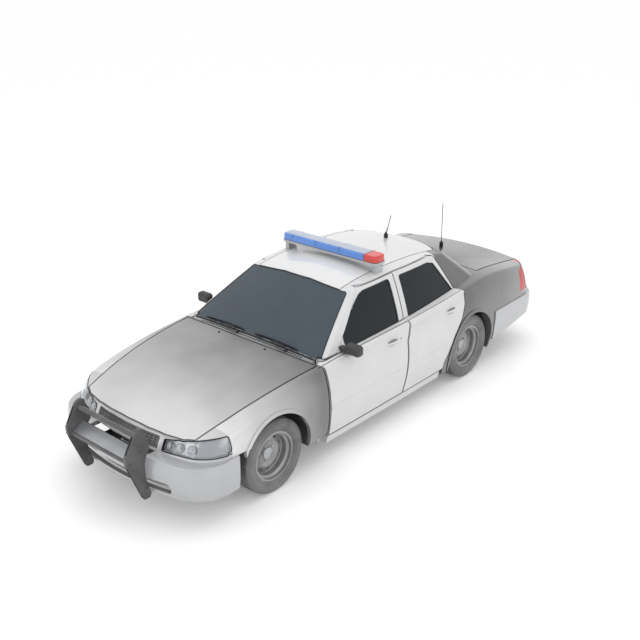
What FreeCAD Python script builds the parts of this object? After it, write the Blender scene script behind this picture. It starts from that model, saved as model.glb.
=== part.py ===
import FreeCAD, Part

# Four-door police patrol car: body-on-frame sedan with a push bar, a roof light bar and steel wheels.
#
# Frame: millimetres, +X to the nose, +Y to the car's left, +Z up. The origin lies on the ground under
# the middle of the car's overall length. Stations are distances behind the front axle, along -X.

import math
import operator
import os

import Sketcher
from FreeCAD import Vector

os.makedirs("parts", exist_ok=True)
doc = FreeCAD.newDocument("PatrolCar")

# ----------------------------------------------------------------------------- driving dimensions
# (alias, value in mm or degrees, what it is)
SIZES = [
    ("wheelbase", 2913, "front axle to rear axle"),
    ("front_overhang", 1005, "front axle to the bumper's foremost point"),
    ("rear_overhang", 1430, "rear axle to the bumper's rearmost point"),
    ("body_width", 1972, "width over the doors"),
    ("belt_height", 960, "height of the waist under the side windows"),
    ("roof_height", 1466, "height of the roof panel's crown"),
    ("sill_height", 190, "height of the body sides' lower edge"),
    ("shut_gap", 6, "gap round a door, the bonnet or the boot lid"),
    ("door_wall", 68, "thickness of a door below the waist"),
    ("frame_wall", 44, "thickness of a door's window frame"),
    ("pocket_gap", 7, "clearance behind a closed door"),
    ("side_frame_wall", 36, "thickness of the body side frame behind the doors"),
    ("panel_wall", 36, "thickness of wings, quarter panels and lids"),
    ("roof_wall", 34, "thickness of the roof panel"),
    ("glass_thickness", 6, "thickness of every window pane"),
    ("glass_setback", 7, "depth of a pane below its surround"),
    ("tyre_radius", 345, "outer radius of the tyre"),
    ("tyre_width", 235, "section width of the tyre"),
    ("rim_radius", 216, "bead seat radius of the rim"),
    ("rim_width", 190, "width of the rim between its flanges"),
    ("wheel_dish", 16, "distance of a wheel's mounting face inboard of the tyre's centre"),
    ("front_track", 1612, "distance between the front tyres' centres"),
    ("rear_track", 1640, "distance between the rear tyres' centres"),
    ("kingpin_inset", 72, "kingpin axis inboard of the tyre's centre"),
    ("front_arch_radius", 396, "radius of the front wheel opening"),
    ("rear_arch_radius", 384, "radius of the rear wheel opening"),
    ("arch_lip", 9, "how far a wheel opening's lip stands proud"),
    ("arch_lip_width", 34, "width of a wheel opening's lip"),
    ("tub_wall", 6, "thickness of a wheelhouse"),
    ("tub_inner_y", 452, "inner face of the front wheelhouses"),
    ("rear_tub_inner_y", 590, "inner face of the rear wheelhouses"),
    ("bumper_stand_out", 15, "how far the bumpers stand proud of the body"),
    ("bumper_wall", 40, "thickness of a bumper's cover"),
    ("front_bumper_top", 588, "height of the front bumper's shelf"),
    ("rear_bumper_top", 622, "height of the rear bumper's shelf"),
    ("intake_half_width", 650, "half the width of the lower intake"),
    ("intake_low", 312, "lower edge of the lower intake"),
    ("intake_high", 410, "upper edge of the lower intake"),
    ("front_bumper_low", 272, "lower edge of the front bumper"),
    ("rear_bumper_low", 286, "lower edge of the rear bumper behind the wheel"),
    ("rear_bumper_end", 415, "lower edge of the rear bumper at the tail"),
    ("grille_half_width", 400, "half the width of the grille opening"),
    ("grille_low", 600, "lower edge of the grille opening"),
    ("grille_high", 706, "upper edge of the grille opening"),
    ("grille_bar", 7, "thickness of a grille bar"),
    ("lamp_inner_y", 450, "inner end of a head lamp"),
    ("lamp_end_station", -505, "outer end of a head lamp, ahead of the front axle"),
    ("tail_lamp_inner_y", 590, "inner edge of a tail lamp"),
    ("tail_lamp_low", 690, "lower edge of a tail lamp"),
    ("tail_lamp_high", 925, "upper edge of a tail lamp"),
    ("tail_lamp_reach", 470, "how far a tail lamp wraps forward along the side"),
    ("lid_half_width", 716, "half the width of the boot lid"),
    ("rail_y", 395, "centre of a chassis rail"),
    ("rail_width", 72, "width of a chassis rail"),
    ("rail_height", 100, "height of a chassis rail"),
    ("rail_low", 175, "underside of the rails between the axles"),
    ("axle_tube_radius", 38, "radius of the rear axle tube"),
    ("differential_radius", 140, "radius of the differential housing"),
    ("running_gap", 0.3, "gap between a wheel's hub and its knuckle or axle end"),
    ("light_bar_length", 1230, "length of the light bar across the roof"),
    ("light_bar_depth", 175, "depth of the light bar along the car"),
    ("light_bar_height", 88, "height of the light bar's body"),
    ("light_bar_station", 1800, "centre of the light bar behind the front axle"),
    ("light_bar_lift", 42, "space between the roof's crown and the light bar"),
    ("light_bar_end", 150, "length of a light bar end lens"),
    ("push_reach", 148, "push bar's foremost point ahead of the bumper"),
    ("push_plate_y", 392, "centre of a push bar upright"),
    ("push_plate", 26, "thickness of a push bar upright"),
    ("seat_width", 520, "width of a front seat"),
    ("seat_y", 370, "centre of a front seat"),
    ("steering_wheel_radius", 190, "radius of the steering wheel"),
    ("floor_plate", 12, "thickness of the floor, with its carpet"),
    ("knuckle_gap", 0.3, "gap between a suspension arm and its knuckle"),
]

sheet = doc.addObject("Spreadsheet::Sheet", "Sizes")
for row, (alias, value, note) in enumerate(SIZES, start=1):
    sheet.set(f"A{row}", note)
    sheet.set(f"B{row}", str(value))
    sheet.setAlias(f"B{row}", alias)
doc.recompute()


# ----------------------------------------------------------------------------- sizes as expressions
def expression(value):
    """The sheet expression of a Size, or a plain number as text."""
    return value.text if isinstance(value, Size) else repr(float(value))


def worked_out(operation, sign):
    """A method that works a sum out as a number and writes it as a sheet expression too."""
    def method(self, other):
        result = operation(float(self), float(other))
        return Size(result, f"({expression(self)} {sign} {expression(other)})")
    return method


def worked_out_reversed(operation, sign):
    """The same for a plain number on the left."""
    def method(self, other):
        result = operation(float(other), float(self))
        return Size(result, f"({expression(other)} {sign} {expression(self)})")
    return method


class Size(float):
    """A number from the sheet that keeps the expression which binds an object's property to it."""

    def __new__(cls, value, text):
        made = super().__new__(cls, value)
        made.text = text
        return made

    def __neg__(self):
        return Size(-float(self), f"(0 - {self.text})")

    __add__ = worked_out(operator.add, "+")
    __sub__ = worked_out(operator.sub, "-")
    __mul__ = worked_out(operator.mul, "*")
    __truediv__ = worked_out(operator.truediv, "/")
    __radd__ = worked_out_reversed(operator.add, "+")
    __rsub__ = worked_out_reversed(operator.sub, "-")
    __rmul__ = worked_out_reversed(operator.mul, "*")


class Sizes:
    """The sheet's cells by alias."""

    def __getattr__(self, alias):
        return Size(float(sheet.get(alias)), f"Sizes.{alias}")


D = Sizes()

overall = D.push_reach + D.front_overhang + D.wheelbase + D.rear_overhang
front_axle_x = overall / 2 - D.push_reach - D.front_overhang
rear_axle_x = front_axle_x - D.wheelbase
half_width = D.body_width / 2
REAR = float(D.wheelbase)


def station(distance):
    """X of a station: its distance behind the front axle."""
    return front_axle_x - distance


# ----------------------------------------------------------------------------- document helpers
nodes = {}


def keep(label, obj):
    """Names an object as a sub-part."""
    obj.Label = label
    nodes[label] = obj
    return obj


def bind(obj, **properties):
    """Binds properties to the sheet; an underscore stands for a dot, as in Placement_Base_x."""
    for name, value in properties.items():
        obj.setExpression(name.replace("_", "."), expression(value))
    return obj


def place(obj, x=0, y=0, z=0, axis=None, angle=0):
    """Turns an object about an axis and binds its position to the sheet."""
    if axis is not None:
        obj.Placement = FreeCAD.Placement(Vector(), FreeCAD.Rotation(axis, angle))
    return bind(obj, Placement_Base_x=x, Placement_Base_y=y, Placement_Base_z=z)


def box(name, x, y, z, length, width, height):
    """A box from its lowest corner."""
    obj = doc.addObject("Part::Box", name)
    bind(obj, Length=length, Width=width, Height=height)
    return place(obj, x, y, z)


def rod(name, radius, length, x=0, y=0, z=0, axis=None, angle=0):
    """A cylinder whose foot's centre is at the point; it stands up unless it is turned."""
    obj = doc.addObject("Part::Cylinder", name)
    bind(obj, Radius=radius, Height=length)
    return place(obj, x, y, z, axis, angle)


def joined(name, *parts):
    """Several objects as one."""
    obj = doc.addObject("Part::MultiFuse", name)
    obj.Shapes = list(parts)
    return obj


def without(name, base, tool):
    """One object with another taken out of it."""
    obj = doc.addObject("Part::Cut", name)
    obj.Base = base
    obj.Tool = tool
    return obj


def solid(label, shape):
    """A sub-part whose shape is worked out here from the sheet's values."""
    obj = doc.addObject("Part::Feature", label)
    obj.Shape = shape
    return keep(label, obj)


def loose(shapes):
    """Several solids that don't touch, as one shape."""
    return Part.makeCompound([s for shape in shapes for s in shape.Solids])


def plane_of(body, role):
    """One of a body's origin planes, or axes, by its role."""
    return next(f for f in body.Origin.OriginFeatures if f.Role == role)


def sketch(body, name, role, points):
    """A closed polygon on an origin plane, each corner bound to the sheet."""
    drawn = body.newObject("Sketcher::SketchObject", name)
    drawn.AttachmentSupport = [(plane_of(body, role), "")]
    drawn.MapMode = "FlatFace"
    corners = [Vector(float(u), float(v), 0) for u, v in points]
    count = len(corners)
    for i in range(count):
        drawn.addGeometry(Part.LineSegment(corners[i], corners[(i + 1) % count]))
    for i in range(count):
        drawn.addConstraint(Sketcher.Constraint("Coincident", i, 2, (i + 1) % count, 1))
    for i, (u, v) in enumerate(points):
        for kind, value in (("DistanceX", u), ("DistanceY", v)):
            index = drawn.addConstraint(Sketcher.Constraint(kind, -1, 1, i, 1, float(value)))
            if isinstance(value, Size):
                drawn.setExpression(f"Constraints[{index}]", value.text)
    return drawn


def turned(label, profile, centre):
    """A body of revolution about the Y direction; the profile is (along Y, radius) from its centre."""
    body = doc.addObject("PartDesign::Body", label)
    drawn = sketch(body, label + "_profile", "XY_Plane", [(radius, along) for along, radius in profile])
    spun = body.newObject("PartDesign::Revolution", label + "_turn")
    spun.Profile = drawn
    spun.ReferenceAxis = (plane_of(body, "Y_Axis"), [""])
    spun.Angle = 360
    body.Tip = spun
    place(body, *centre)
    return body


def slab(label, outline, thickness, y=0):
    """A side-view outline of (x, z) points, padded both ways from the plane at y."""
    body = doc.addObject("PartDesign::Body", label)
    drawn = sketch(body, label + "_outline", "XZ_Plane", outline)
    pad = body.newObject("PartDesign::Pad", label + "_pad")
    pad.Profile = drawn
    pad.Midplane = True
    bind(pad, Length=thickness)
    body.Tip = pad
    place(body, 0, y, 0)
    return body


def polygon_prism(points, direction):
    """A plain prism over a closed polygon."""
    return Part.Face(Part.makePolygon(points + points[:1])).extrude(direction)


def side_face(outline, grow=0.0, round_by=0.0):
    """A face in the plane y = 0 over (station, z) points, grown by grow and with rounded corners."""
    points = [Vector(station(s), 0, z) for s, z in outline]
    face = Part.Face(Part.makePolygon(points + points[:1]))
    if round_by:
        face = Part.Face(face.makeOffset2D(-round_by).OuterWire)
        face = Part.Face(face.makeOffset2D(round_by).OuterWire)
    if grow:
        face = Part.Face(face.makeOffset2D(grow).OuterWire)
    return face


def side_prism(outline, low_y, high_y, grow=0.0, round_by=0.0):
    """The side-view outline pulled out between two distances from the middle plane."""
    face = side_face(outline, grow, round_by)
    face.translate(Vector(0, low_y, 0))
    return face.extrude(Vector(0, high_y - low_y, 0))


def plain_box(x0, x1, y0, y1, z0, z1):
    """A plain box shape between two corners."""
    return Part.makeBox(x1 - x0, y1 - y0, z1 - z0, Vector(x0, y0, z0))


def mirrored(shape):
    """The same shape on the car's right side."""
    return shape.mirror(Vector(0, 0, 0), Vector(0, 1, 0))


# ----------------------------------------------------------------------------- body surfaces
def corner(start, tangent, along_side):
    """The arc that leaves start along tangent and ends on the side line, tangent to it.

    along_side is (point on the side line, unit direction). Returns the arc's edge and its end."""
    point, direction = along_side
    cross = tangent.x * direction.y - tangent.y * direction.x
    gap = point - start
    reach = (gap.x * direction.y - gap.y * direction.x) / cross
    apex = start + tangent * reach
    end = apex + direction * reach
    half_turn = tangent.getAngle(direction) / 2
    radius = reach / math.tan(half_turn)
    to_middle = ((start + end) * 0.5 - apex).normalize()
    middle = apex + to_middle * (radius * (1 / math.cos(half_turn) - 1))
    return Part.Arc(start, middle, end).toShape(), end


def waterline(z, front, rear, half_front, half_mid, half_rear, bows, corners, widest):
    """A closed plan outline at height z: bowed ends, rounded corners and slightly bowed sides.

    front and rear are stations on the middle plane, the halves are the half widths towards the
    nose, at the widest station and towards the tail, bows are the ends' sagittas and corners the
    distances from the side at which the rounded corners start."""
    half = []
    ends = ((front, half_front, bows[0], corners[0], 1), (rear, half_rear, bows[1], corners[1], -1))
    for at, width, bow, reach, sense in ends:
        radius = (width ** 2 + bow ** 2) / (2 * bow)
        y = width - reach
        drop = radius - math.sqrt(radius ** 2 - y ** 2)
        start = Vector(station(at) - sense * drop, y, z)
        slope = y / math.sqrt(radius ** 2 - y ** 2)
        tangent = Vector(-sense * slope, 1, 0).normalize()
        side_x = station(at + sense * (bow + reach))
        run = abs(side_x - station(widest))
        outward = Vector(-sense, 2 * (half_mid - width) / run, 0).normalize()
        arc, end = corner(start, tangent, (Vector(side_x, width, z), outward))
        half.append((start, arc, end))
    (nose, nose_arc, nose_end), (tail, tail_arc, tail_end) = half
    side = Part.Arc(nose_end, Vector(station(widest), half_mid, z), tail_end).toShape()
    flip = Vector(0, 1, 0)
    right = [e.mirror(Vector(), flip) for e in (nose_arc, side, tail_arc)]
    front_bow = Part.Arc(Vector(nose.x, -nose.y, z), Vector(station(front), 0, z), nose).toShape()
    rear_bow = Part.Arc(tail, Vector(station(rear), 0, z), Vector(tail.x, -tail.y, z)).toShape()
    return Part.Wire(Part.__sortEdges__([front_bow, nose_arc, side, tail_arc, rear_bow, *right]))


def crown(at, middle, edge, spread):
    """An upright section at a station: an arc from edge height up to the middle and down again."""
    x = station(at)
    low = -400
    left = [Vector(x, -spread, low), Vector(x, -spread, edge)]
    right = [Vector(x, spread, edge), Vector(x, spread, low)]
    arc = Part.Arc(left[1], Vector(x, 0, middle), right[0]).toShape()
    lines = [Part.makeLine(*left), Part.makeLine(*right), Part.makeLine(right[1], left[0])]
    return Part.Wire([lines[0], arc, lines[1], lines[2]])


# Body sides by height: z from the waist, nose and tail setbacks from the overhangs, and how far the
# side tucks in at the nose, at the middle and at the tail.
SIDE_ROWS = [
    (-770, 165, 110, 92, 62, 92),
    (-620, 130, 75, 50, 26, 52),
    (-400, 125, 62, 40, 0, 30),
    (-200, 225, 72, 56, 12, 44),
    (0, 440, 112, 118, 64, 104),
    (150, 640, 175, 200, 135, 180),
]
# Top of the body without its cabin: station, height of the middle and of the edge from the waist.
TOP_ROWS = [
    (-1300, -330, -430),
    (-800, -225, -308),
    (-330, -92, -172),
    (150, -10, -80),
    (640, 30, -35),
    (1750, 50, -8),
    (2850, 88, 20),
    (3300, 100, 28),
    (3800, 62, -20),
    (4200, 12, -70),
    (4600, -50, -140),
]
TOP_SPREAD = 1150
SHOULDER_RADIUS = 46
BODY_WIDEST = 1750
BODY_BOWS = (165, 118)
BODY_CORNERS = (250, 215)


def lower_body(inset=0.0, drop=0.0, fillet=0.0):
    """The body below the waist, its sides moved in by inset and its top lowered by drop."""
    outlines = []
    for z, nose, tail, tuck_nose, tuck_mid, tuck_tail in SIDE_ROWS:
        halves = [float(half_width) - tuck - inset for tuck in (tuck_nose, tuck_mid, tuck_tail)]
        front = -float(D.front_overhang) + nose + inset
        rear = REAR + float(D.rear_overhang) - tail - inset
        height = float(D.belt_height) + z
        outlines.append(
            waterline(height, front, rear, *halves, BODY_BOWS, BODY_CORNERS, BODY_WIDEST)
        )
    sides = Part.makeLoft(outlines, True, False)
    top = Part.makeLoft(
        [crown(at, float(D.belt_height) + mid - drop, float(D.belt_height) + edge - drop, TOP_SPREAD)
         for at, mid, edge in TOP_ROWS], True, False)
    body = sides.common(top).Solids[0]
    if fillet:
        rim = [e for e in body.Edges if e.CenterOfMass.z > float(D.front_bumper_top)]
        body = body.makeFillet(fillet, rim)
    return body


# Cabin by height: z above the belt, windscreen and rear window stations, half widths at the nose,
# middle and tail, bow of the windscreen.
CABIN_ROWS = [
    (-180, 318, 3614, 905, 905, 835, 70),
    (-60, 496, 3472, 868, 868, 800, 72),
    (60, 674, 3330, 824, 828, 765, 76),
    (200, 894, 3166, 758, 768, 710, 76),
    (340, 1118, 3000, 680, 700, 655, 75),
    (430, 1262, 2894, 624, 650, 612, 74),
    (530, 1403, 2776, 557, 588, 555, 73),
]
ROOF_ROWS = [
    # station, middle and edge height below the roof's crown
    (300, -250, -400),
    (900, -140, -290),
    (1290, -45, -155),
    (1750, -3, -100),
    (2150, -4, -96),
    (2600, -34, -126),
    (3000, -110, -210),
    (3700, -350, -450),
]
ROOF_SPREAD = 850
ROOF_RADIUS = 60
CABIN_WIDEST = 1950
BACK_BOW = 92
CABIN_CORNERS = (70, 110)
GLASS_SLOPE = 1.8  # plan offset of a sloping screen for each millimetre of offset square to it


def cabin(inset=0.0, fillet=0.0):
    """The cabin above the waist, with every face moved in by inset."""
    outlines = []
    for z, screen, back, *halves, bow in CABIN_ROWS:
        front = screen + GLASS_SLOPE * inset
        rear = back - GLASS_SLOPE * inset
        widths = [half - 1.12 * inset for half in halves]
        height = float(D.belt_height) + z
        outlines.append(
            waterline(height, front, rear, *widths, (bow, BACK_BOW), CABIN_CORNERS, CABIN_WIDEST)
        )
    sides = Part.makeLoft(outlines, True, False)
    height = float(D.roof_height) - inset
    roof = Part.makeLoft([crown(at, height + mid, height + edge, ROOF_SPREAD)
                          for at, mid, edge in ROOF_ROWS], True, False)
    body = sides.common(roof).Solids[0]
    if fillet:
        rim = [e for e in body.Edges if e.CenterOfMass.z > float(D.roof_height) - 160
               and e.BoundBox.ZMin > float(D.belt_height) + 150]
        body = body.makeFillet(fillet, rim)
    return body


def whole(side_inset, drop, cabin_inset, fillets=False):
    """The outside of the car, or a solid inside it, waist to roof and sill to waist as one."""
    shoulder, rail = (SHOULDER_RADIUS, ROOF_RADIUS) if fillets else (0.0, 0.0)
    return lower_body(side_inset, drop, shoulder).fuse(cabin(cabin_inset, rail)).Solids[0]


outer = whole(0, 0, 0, True)
low = lower_body(0, 0)
panel = float(D.panel_wall)
door_wall = float(D.door_wall)
frame_wall = float(D.frame_wall)
pocket_gap = float(D.pocket_gap)
ring_wall = float(D.side_frame_wall)
gap = float(D.shut_gap)
belt = float(D.belt_height)
sill = float(D.sill_height)
thin_inner = whole(panel, panel, float(D.roof_wall))
door_inner = whole(door_wall, door_wall, frame_wall)
pocket = whole(door_wall + pocket_gap, door_wall + pocket_gap, frame_wall + pocket_gap)
room = whole(door_wall + pocket_gap + ring_wall, door_wall + pocket_gap + ring_wall,
             frame_wall + pocket_gap + ring_wall)
thin_shell = outer.cut(thin_inner)
pocket_shell = outer.cut(pocket)
door_shell = outer.cut(door_inner)
ring_shell = pocket.cut(room)
FAR = 1300
SEAT = 0.3


def s_box(s0, s1, y0, y1, z0, z1):
    """A box between two stations, widths and heights."""
    return plain_box(station(s1), station(s0), y0, y1, z0, z1)


def biggest(shape):
    """The largest solid of a shape."""
    return max(shape.Solids, key=lambda s: s.Volume)


# ----------------------------------------------------------------------------- body openings
DOOR_BOTTOM = sill + 82
ROOF_SEAM = 528
FRONT_DOOR = [(640, DOOR_BOTTOM), (640, belt + 14), (880, belt + 14), (1400, belt + 408),
              (1450, belt + 428), (1926, belt + 442), (1866, belt - 5), (1776, belt - 148),
              (1729, belt - 672), (1728, DOOR_BOTTOM)]
REAR_DOOR = [(1734, DOOR_BOTTOM), (1735, belt - 672), (1782, belt - 148), (1872, belt - 5),
             (1932, belt + 442), (2560, belt + 430), (2630, belt + 415), (2812, belt + 30),
             (2780, belt - 80), (2700, belt - 206), (2552, belt - 360), (2425, belt - 600),
             (2420, DOOR_BOTTOM)]
FRONT_WINDOW = [(1012, belt - 40), (1012, belt + 165), (1040, belt + 182), (1400, belt + 372),
                (1470, belt + 388), (1838, belt + 396), (1772, belt - 40)]
REAR_WINDOW = [(1938, belt - 40), (1998, belt + 390), (2480, belt + 380), (2572, belt + 355),
               (2772, belt + 10), (2772, belt - 40)]
UPPER_LEAN = 0.4
LOWER_LEAN = 0.12


def leaning_prism(outline, lean, at, tumble, grow=0.0, round_by=0.0):
    """The side outline cut through the body side, along a line that leans back as it goes out.

    The outline lies on the plane of the skin: at[0] from the middle at height at[1], moving in by
    tumble for each millimetre up. A door that turns on its hinge then clears the edges beside it."""
    points = [Vector(station(s), at[0] - tumble * (z - at[1]), z) for s, z in outline]
    face = Part.Face(Part.makePolygon(points + points[:1]))
    if round_by:
        face = Part.Face(face.makeOffset2D(-round_by).OuterWire)
        face = Part.Face(face.makeOffset2D(round_by).OuterWire)
    if grow:
        face = Part.Face(face.makeOffset2D(grow).OuterWire)
    face.translate(Vector(lean * 160, -160, 0))
    return face.extrude(Vector(-lean * 420, 420, 0))


def clipped(outline, level, above):
    """The part of an outline above, or below, a level."""
    kept = []
    for (s0, z0), (s1, z1) in zip(outline, outline[1:] + outline[:1]):
        if (z0 >= level) == above:
            kept.append((s0, z0))
        if (z0 >= level) != (z1 >= level):
            share = (level - z0) / (z1 - z0)
            kept.append((s0 + share * (s1 - s0), level))
    return kept


def door_form(outline, grow=0.0):
    """A door's outline through the body side: upright below the waist, leaning in above it."""
    level = belt + 25
    upper = leaning_prism(clipped(outline, level - 60, True), UPPER_LEAN, (868, belt - 5), 0.51,
                          grow, 8)
    upper = upper.common(s_box(0, 4000, ROOF_SEAM + gap - grow, FAR, level, 2000))
    lower = leaning_prism(clipped(outline, level + 60, False), LOWER_LEAN, (930, belt), 0.0, grow, 8)
    lower = lower.common(s_box(0, 4000, 790 - grow, FAR, 0, level))
    return upper.fuse(lower)


door_cuts = {"front": door_form(FRONT_DOOR), "rear": door_form(REAR_DOOR)}
door_holes = {"front": door_form(FRONT_DOOR, gap), "rear": door_form(REAR_DOOR, gap)}
apertures = {
    "front": side_prism(FRONT_DOOR, ROOF_SEAM, FAR, grow=-42, round_by=14),
    "rear": side_prism(REAR_DOOR, ROOF_SEAM, FAR, grow=-42, round_by=14),
}
window_cuts = {
    "front": side_prism(FRONT_WINDOW, 300, FAR, round_by=18).cut(low),
    "rear": side_prism(REAR_WINDOW, 300, FAR, round_by=18).cut(low),
}
pane = cabin(float(D.glass_setback)).cut(cabin(float(D.glass_setback) + float(D.glass_thickness)))
pane = pane.cut(low)


def end_prism(outline, s0, s1, round_by=0.0, grow=0.0):
    """A front-view outline of (y, z) points pulled along the car between two stations."""
    points = [Vector(station(s1), y, z) for y, z in outline]
    face = Part.Face(Part.makePolygon(points + points[:1]))
    if round_by:
        face = Part.Face(face.makeOffset2D(-round_by).OuterWire)
        face = Part.Face(face.makeOffset2D(round_by).OuterWire)
    if grow:
        face = Part.Face(face.makeOffset2D(grow).OuterWire)
    return face.extrude(Vector(s1 - s0, 0, 0))


def both_sides(half):
    """A symmetrical outline from its right half, listed bottom to top with y above 0."""
    return half + [(-y, z) for y, z in reversed(half)]


SCREEN = both_sides([(850, belt - 60), (856, belt - 42), (612, belt + 402), (590, belt + 412),
                     (400, belt + 426), (170, belt + 443)])
BACK = both_sides([(700, belt - 20), (706, belt + 60), (585, belt + 405), (570, belt + 410)])
screen_cut = end_prism(SCREEN, 0, 1520, round_by=25).cut(low)
back_cut = end_prism(BACK, 2700, 3800, round_by=25).cut(low)

# ----------------------------------------------------------------------------- wheels' places
front_y = D.front_track / 2
rear_y = D.rear_track / 2
kingpin_y = front_y - D.kingpin_inset
AXLES = {"front": (0.0, front_y, float(D.front_arch_radius)),
         "rear": (REAR, rear_y, float(D.rear_arch_radius))}


def y_cylinder(s, z, radius, y0, y1):
    """A cylinder across the car."""
    return Part.makeCylinder(radius, y1 - y0, Vector(station(s), y0, z), Vector(0, 1, 0))


axle_z = float(D.tyre_radius)
front_arch = y_cylinder(0, axle_z + 8, float(D.front_arch_radius), 0, FAR)
rear_arch = y_cylinder(REAR, axle_z + 8, float(D.rear_arch_radius), 0, FAR)
arch_foot = [s_box(-float(D.front_arch_radius), float(D.front_arch_radius), 0, FAR, 0, axle_z + 8),
             s_box(REAR - float(D.rear_arch_radius), REAR + float(D.rear_arch_radius), 0, FAR, 0,
                   axle_z + 8)]
front_arch = front_arch.fuse(arch_foot[0])
rear_arch = rear_arch.fuse(arch_foot[1])

# ----------------------------------------------------------------------------- hood and nose
bumper_top = float(D.front_bumper_top)
lamp_end = float(D.lamp_end_station)


def plan_prism(outline, z0, z1, grow=0.0):
    """A plan outline of (station, y) points, its left half, mirrored and pulled up."""
    points = [Vector(station(s), y, z0) for s, y in outline]
    points += [Vector(p.x, -p.y, z0) for p in reversed(points) if p.y]
    face = Part.Face(Part.makePolygon(points + points[:1]))
    if grow:
        face = Part.Face(face.makeOffset2D(grow).OuterWire)
    return face.extrude(Vector(0, 0, z1 - z0))


HOOD = [(-800, 0), (-792, 250), (-770, 450), (-735, 620), (-690, 713), (-400, 762), (-82, 800),
        (300, 832), (612, 850), (596, 700), (578, 450), (566, 200), (562, 0)]
hood_foot = float(D.grille_high) + gap
under_lip = s_box(-1300, -560, -FAR, FAR, 0, hood_foot)
hood_cut = plan_prism(HOOD, 500, 1200).cut(under_lip)
under_lip.translate(Vector(0, 0, -gap))
hood_hole = plan_prism(HOOD, 500, 1200, grow=gap).cut(under_lip)
hood = biggest(thin_shell.common(hood_cut))
solid("hood", hood)

nose_zone = s_box(-1300, lamp_end, -FAR, FAR, bumper_top, 1200)
nose = thin_shell.common(nose_zone).cut(hood_hole)
LAMP = [(float(D.lamp_inner_y), bumper_top + 18), (float(D.lamp_inner_y), bumper_top + 108),
        (760, bumper_top + 154), (FAR, bumper_top + 245), (FAR, bumper_top + 34)]
lamp_zone = [Vector(station(lamp_end), y, z) for y, z in LAMP]
lamp_cut = polygon_prism(lamp_zone, Vector(800, 0, 0))
grille_y = float(D.grille_half_width)
grille_low = float(D.grille_low)
grille_high = float(D.grille_high)
grille_hole = end_prism([(grille_y, grille_low), (grille_y, grille_high), (-grille_y, grille_high),
                         (-grille_y, grille_low)], -1300, -600, round_by=16)
lamp_left = nose.common(lamp_cut)
header = nose.cut(lamp_cut).cut(mirrored(lamp_cut)).cut(grille_hole)
solid("nose_panel", header)
solid("head_lamps", loose([lamp_left, mirrored(lamp_left)]))

# grille: a bar frame that fills the opening through the nose's thickness, set back from its face
set_back = lower_body(14, 14).cut(lower_body(panel, panel))
bars = []
pitch = (grille_high - grille_low) / 6
for i in range(1, 6):
    z = grille_low + pitch * i
    bars.append(s_box(-1300, -600, -grille_y, grille_y, z - D.grille_bar / 2, z + D.grille_bar / 2))
for i in range(-8, 9):
    y = i * grille_y / 8.6
    bars.append(s_box(-1300, -600, y - D.grille_bar / 2, y + D.grille_bar / 2, grille_low,
                      grille_high))
rim = grille_hole.cut(end_prism([(grille_y, grille_low), (grille_y, grille_high),
                                 (-grille_y, grille_high), (-grille_y, grille_low)],
                                -1300, -600, round_by=16, grow=-12))
lattice = rim.fuse(bars)
grille = set_back.common(grille_hole).common(lattice)
solid("grille", grille)

# ----------------------------------------------------------------------------- front wings
wing_zone = s_box(lamp_end, 640 - gap, 0, FAR, 300, 1200).cut(
    s_box(-900, -360, 0, FAR, 0, bumper_top))
wing = thin_shell.common(wing_zone).cut(hood_hole).cut(front_arch)
wing = wing.cut(s_box(545, 700, 0, 856, 0, 1200)).cut(door_holes["front"])
lip_shell = lower_body(-float(D.arch_lip)).cut(thin_inner)


def lip(s, radius, y0=700):
    """The raised band round a wheel opening."""
    z = axle_z + 8
    width = float(D.arch_lip_width)
    ring = y_cylinder(s, z, radius + width, y0, FAR).fuse(
        s_box(s - radius - width, s + radius + width, y0, FAR, 330, z))
    hole = y_cylinder(s, z, radius, y0 - 10, FAR + 10).fuse(
        s_box(s - radius, s + radius, y0 - 10, FAR + 10, 0, z))
    return lip_shell.common(ring.cut(hole))


wing_lip = lip(0, float(D.front_arch_radius)).common(wing_zone)
wing = wing.fuse(wing_lip.common(s_box(-900, 640 - gap, 0, FAR, bumper_top, 1200)))
solid("front_wings", loose([wing, mirrored(wing)]))

# cowl between the hood and the windscreen
cowl = thin_shell.common(s_box(545, 900, -856, 856, belt - 60, 1200)).cut(hood_hole)
cowl = cowl.common(low).cut(door_holes["front"]).cut(mirrored(door_holes["front"]))
cowl = biggest(cowl)
solid("cowl", cowl)

# ----------------------------------------------------------------------------- sides
def tub_form(s, half, top, inner_y, shrink):
    """The space of a wheelhouse: a wheel's opening with sloping shoulders."""
    outline = [(s - half, -50), (s - half, 470), (s - half + 110, top - 70), (s - 150, top),
               (s + 150, top), (s + half - 110, top - 70), (s + half, 470), (s + half, -50)]
    return side_prism(outline, inner_y + shrink, FAR, grow=-shrink if shrink else 0)


tub_wall = float(D.tub_wall)
TUBS = [("front", 0, 432, 745, float(D.tub_inner_y), thin_inner, 250),
        ("rear", REAR, 382, 738, float(D.rear_tub_inner_y), pocket, 300)]
A_LINE = s_box(640, 1940, 0, 528, belt, 1600)
side_zone = s_box(640, 2425, 300, FAR, 0, DOOR_BOTTOM - gap)
sill_part = pocket_shell.common(side_zone).cut(
    s_box(2425 - 60, 2500, 0, FAR, 0, 1000)).cut(front_arch)
pillar_zone = s_box(640, 1700, ROOF_SEAM, FAR, belt, 1600).fuse(
    s_box(1600, 2640, ROOF_SEAM, FAR, belt + 380, 1600))
pillar = pocket_shell.common(pillar_zone).cut(screen_cut).cut(low).cut(back_cut)
pillar = pillar.cut(door_holes["front"]).cut(door_holes["rear"])
ring = ring_shell.common(side_prism([(600, 0), (600, 1600), (2950, 1600), (2950, 0)],
                                     ROOF_SEAM - 50, FAR))
ring = ring.cut(apertures["front"]).cut(apertures["rear"]).cut(rear_arch).cut(screen_cut)
ring = ring.cut(back_cut).cut(tub_form(*TUBS[1][1:5], 0))
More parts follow.
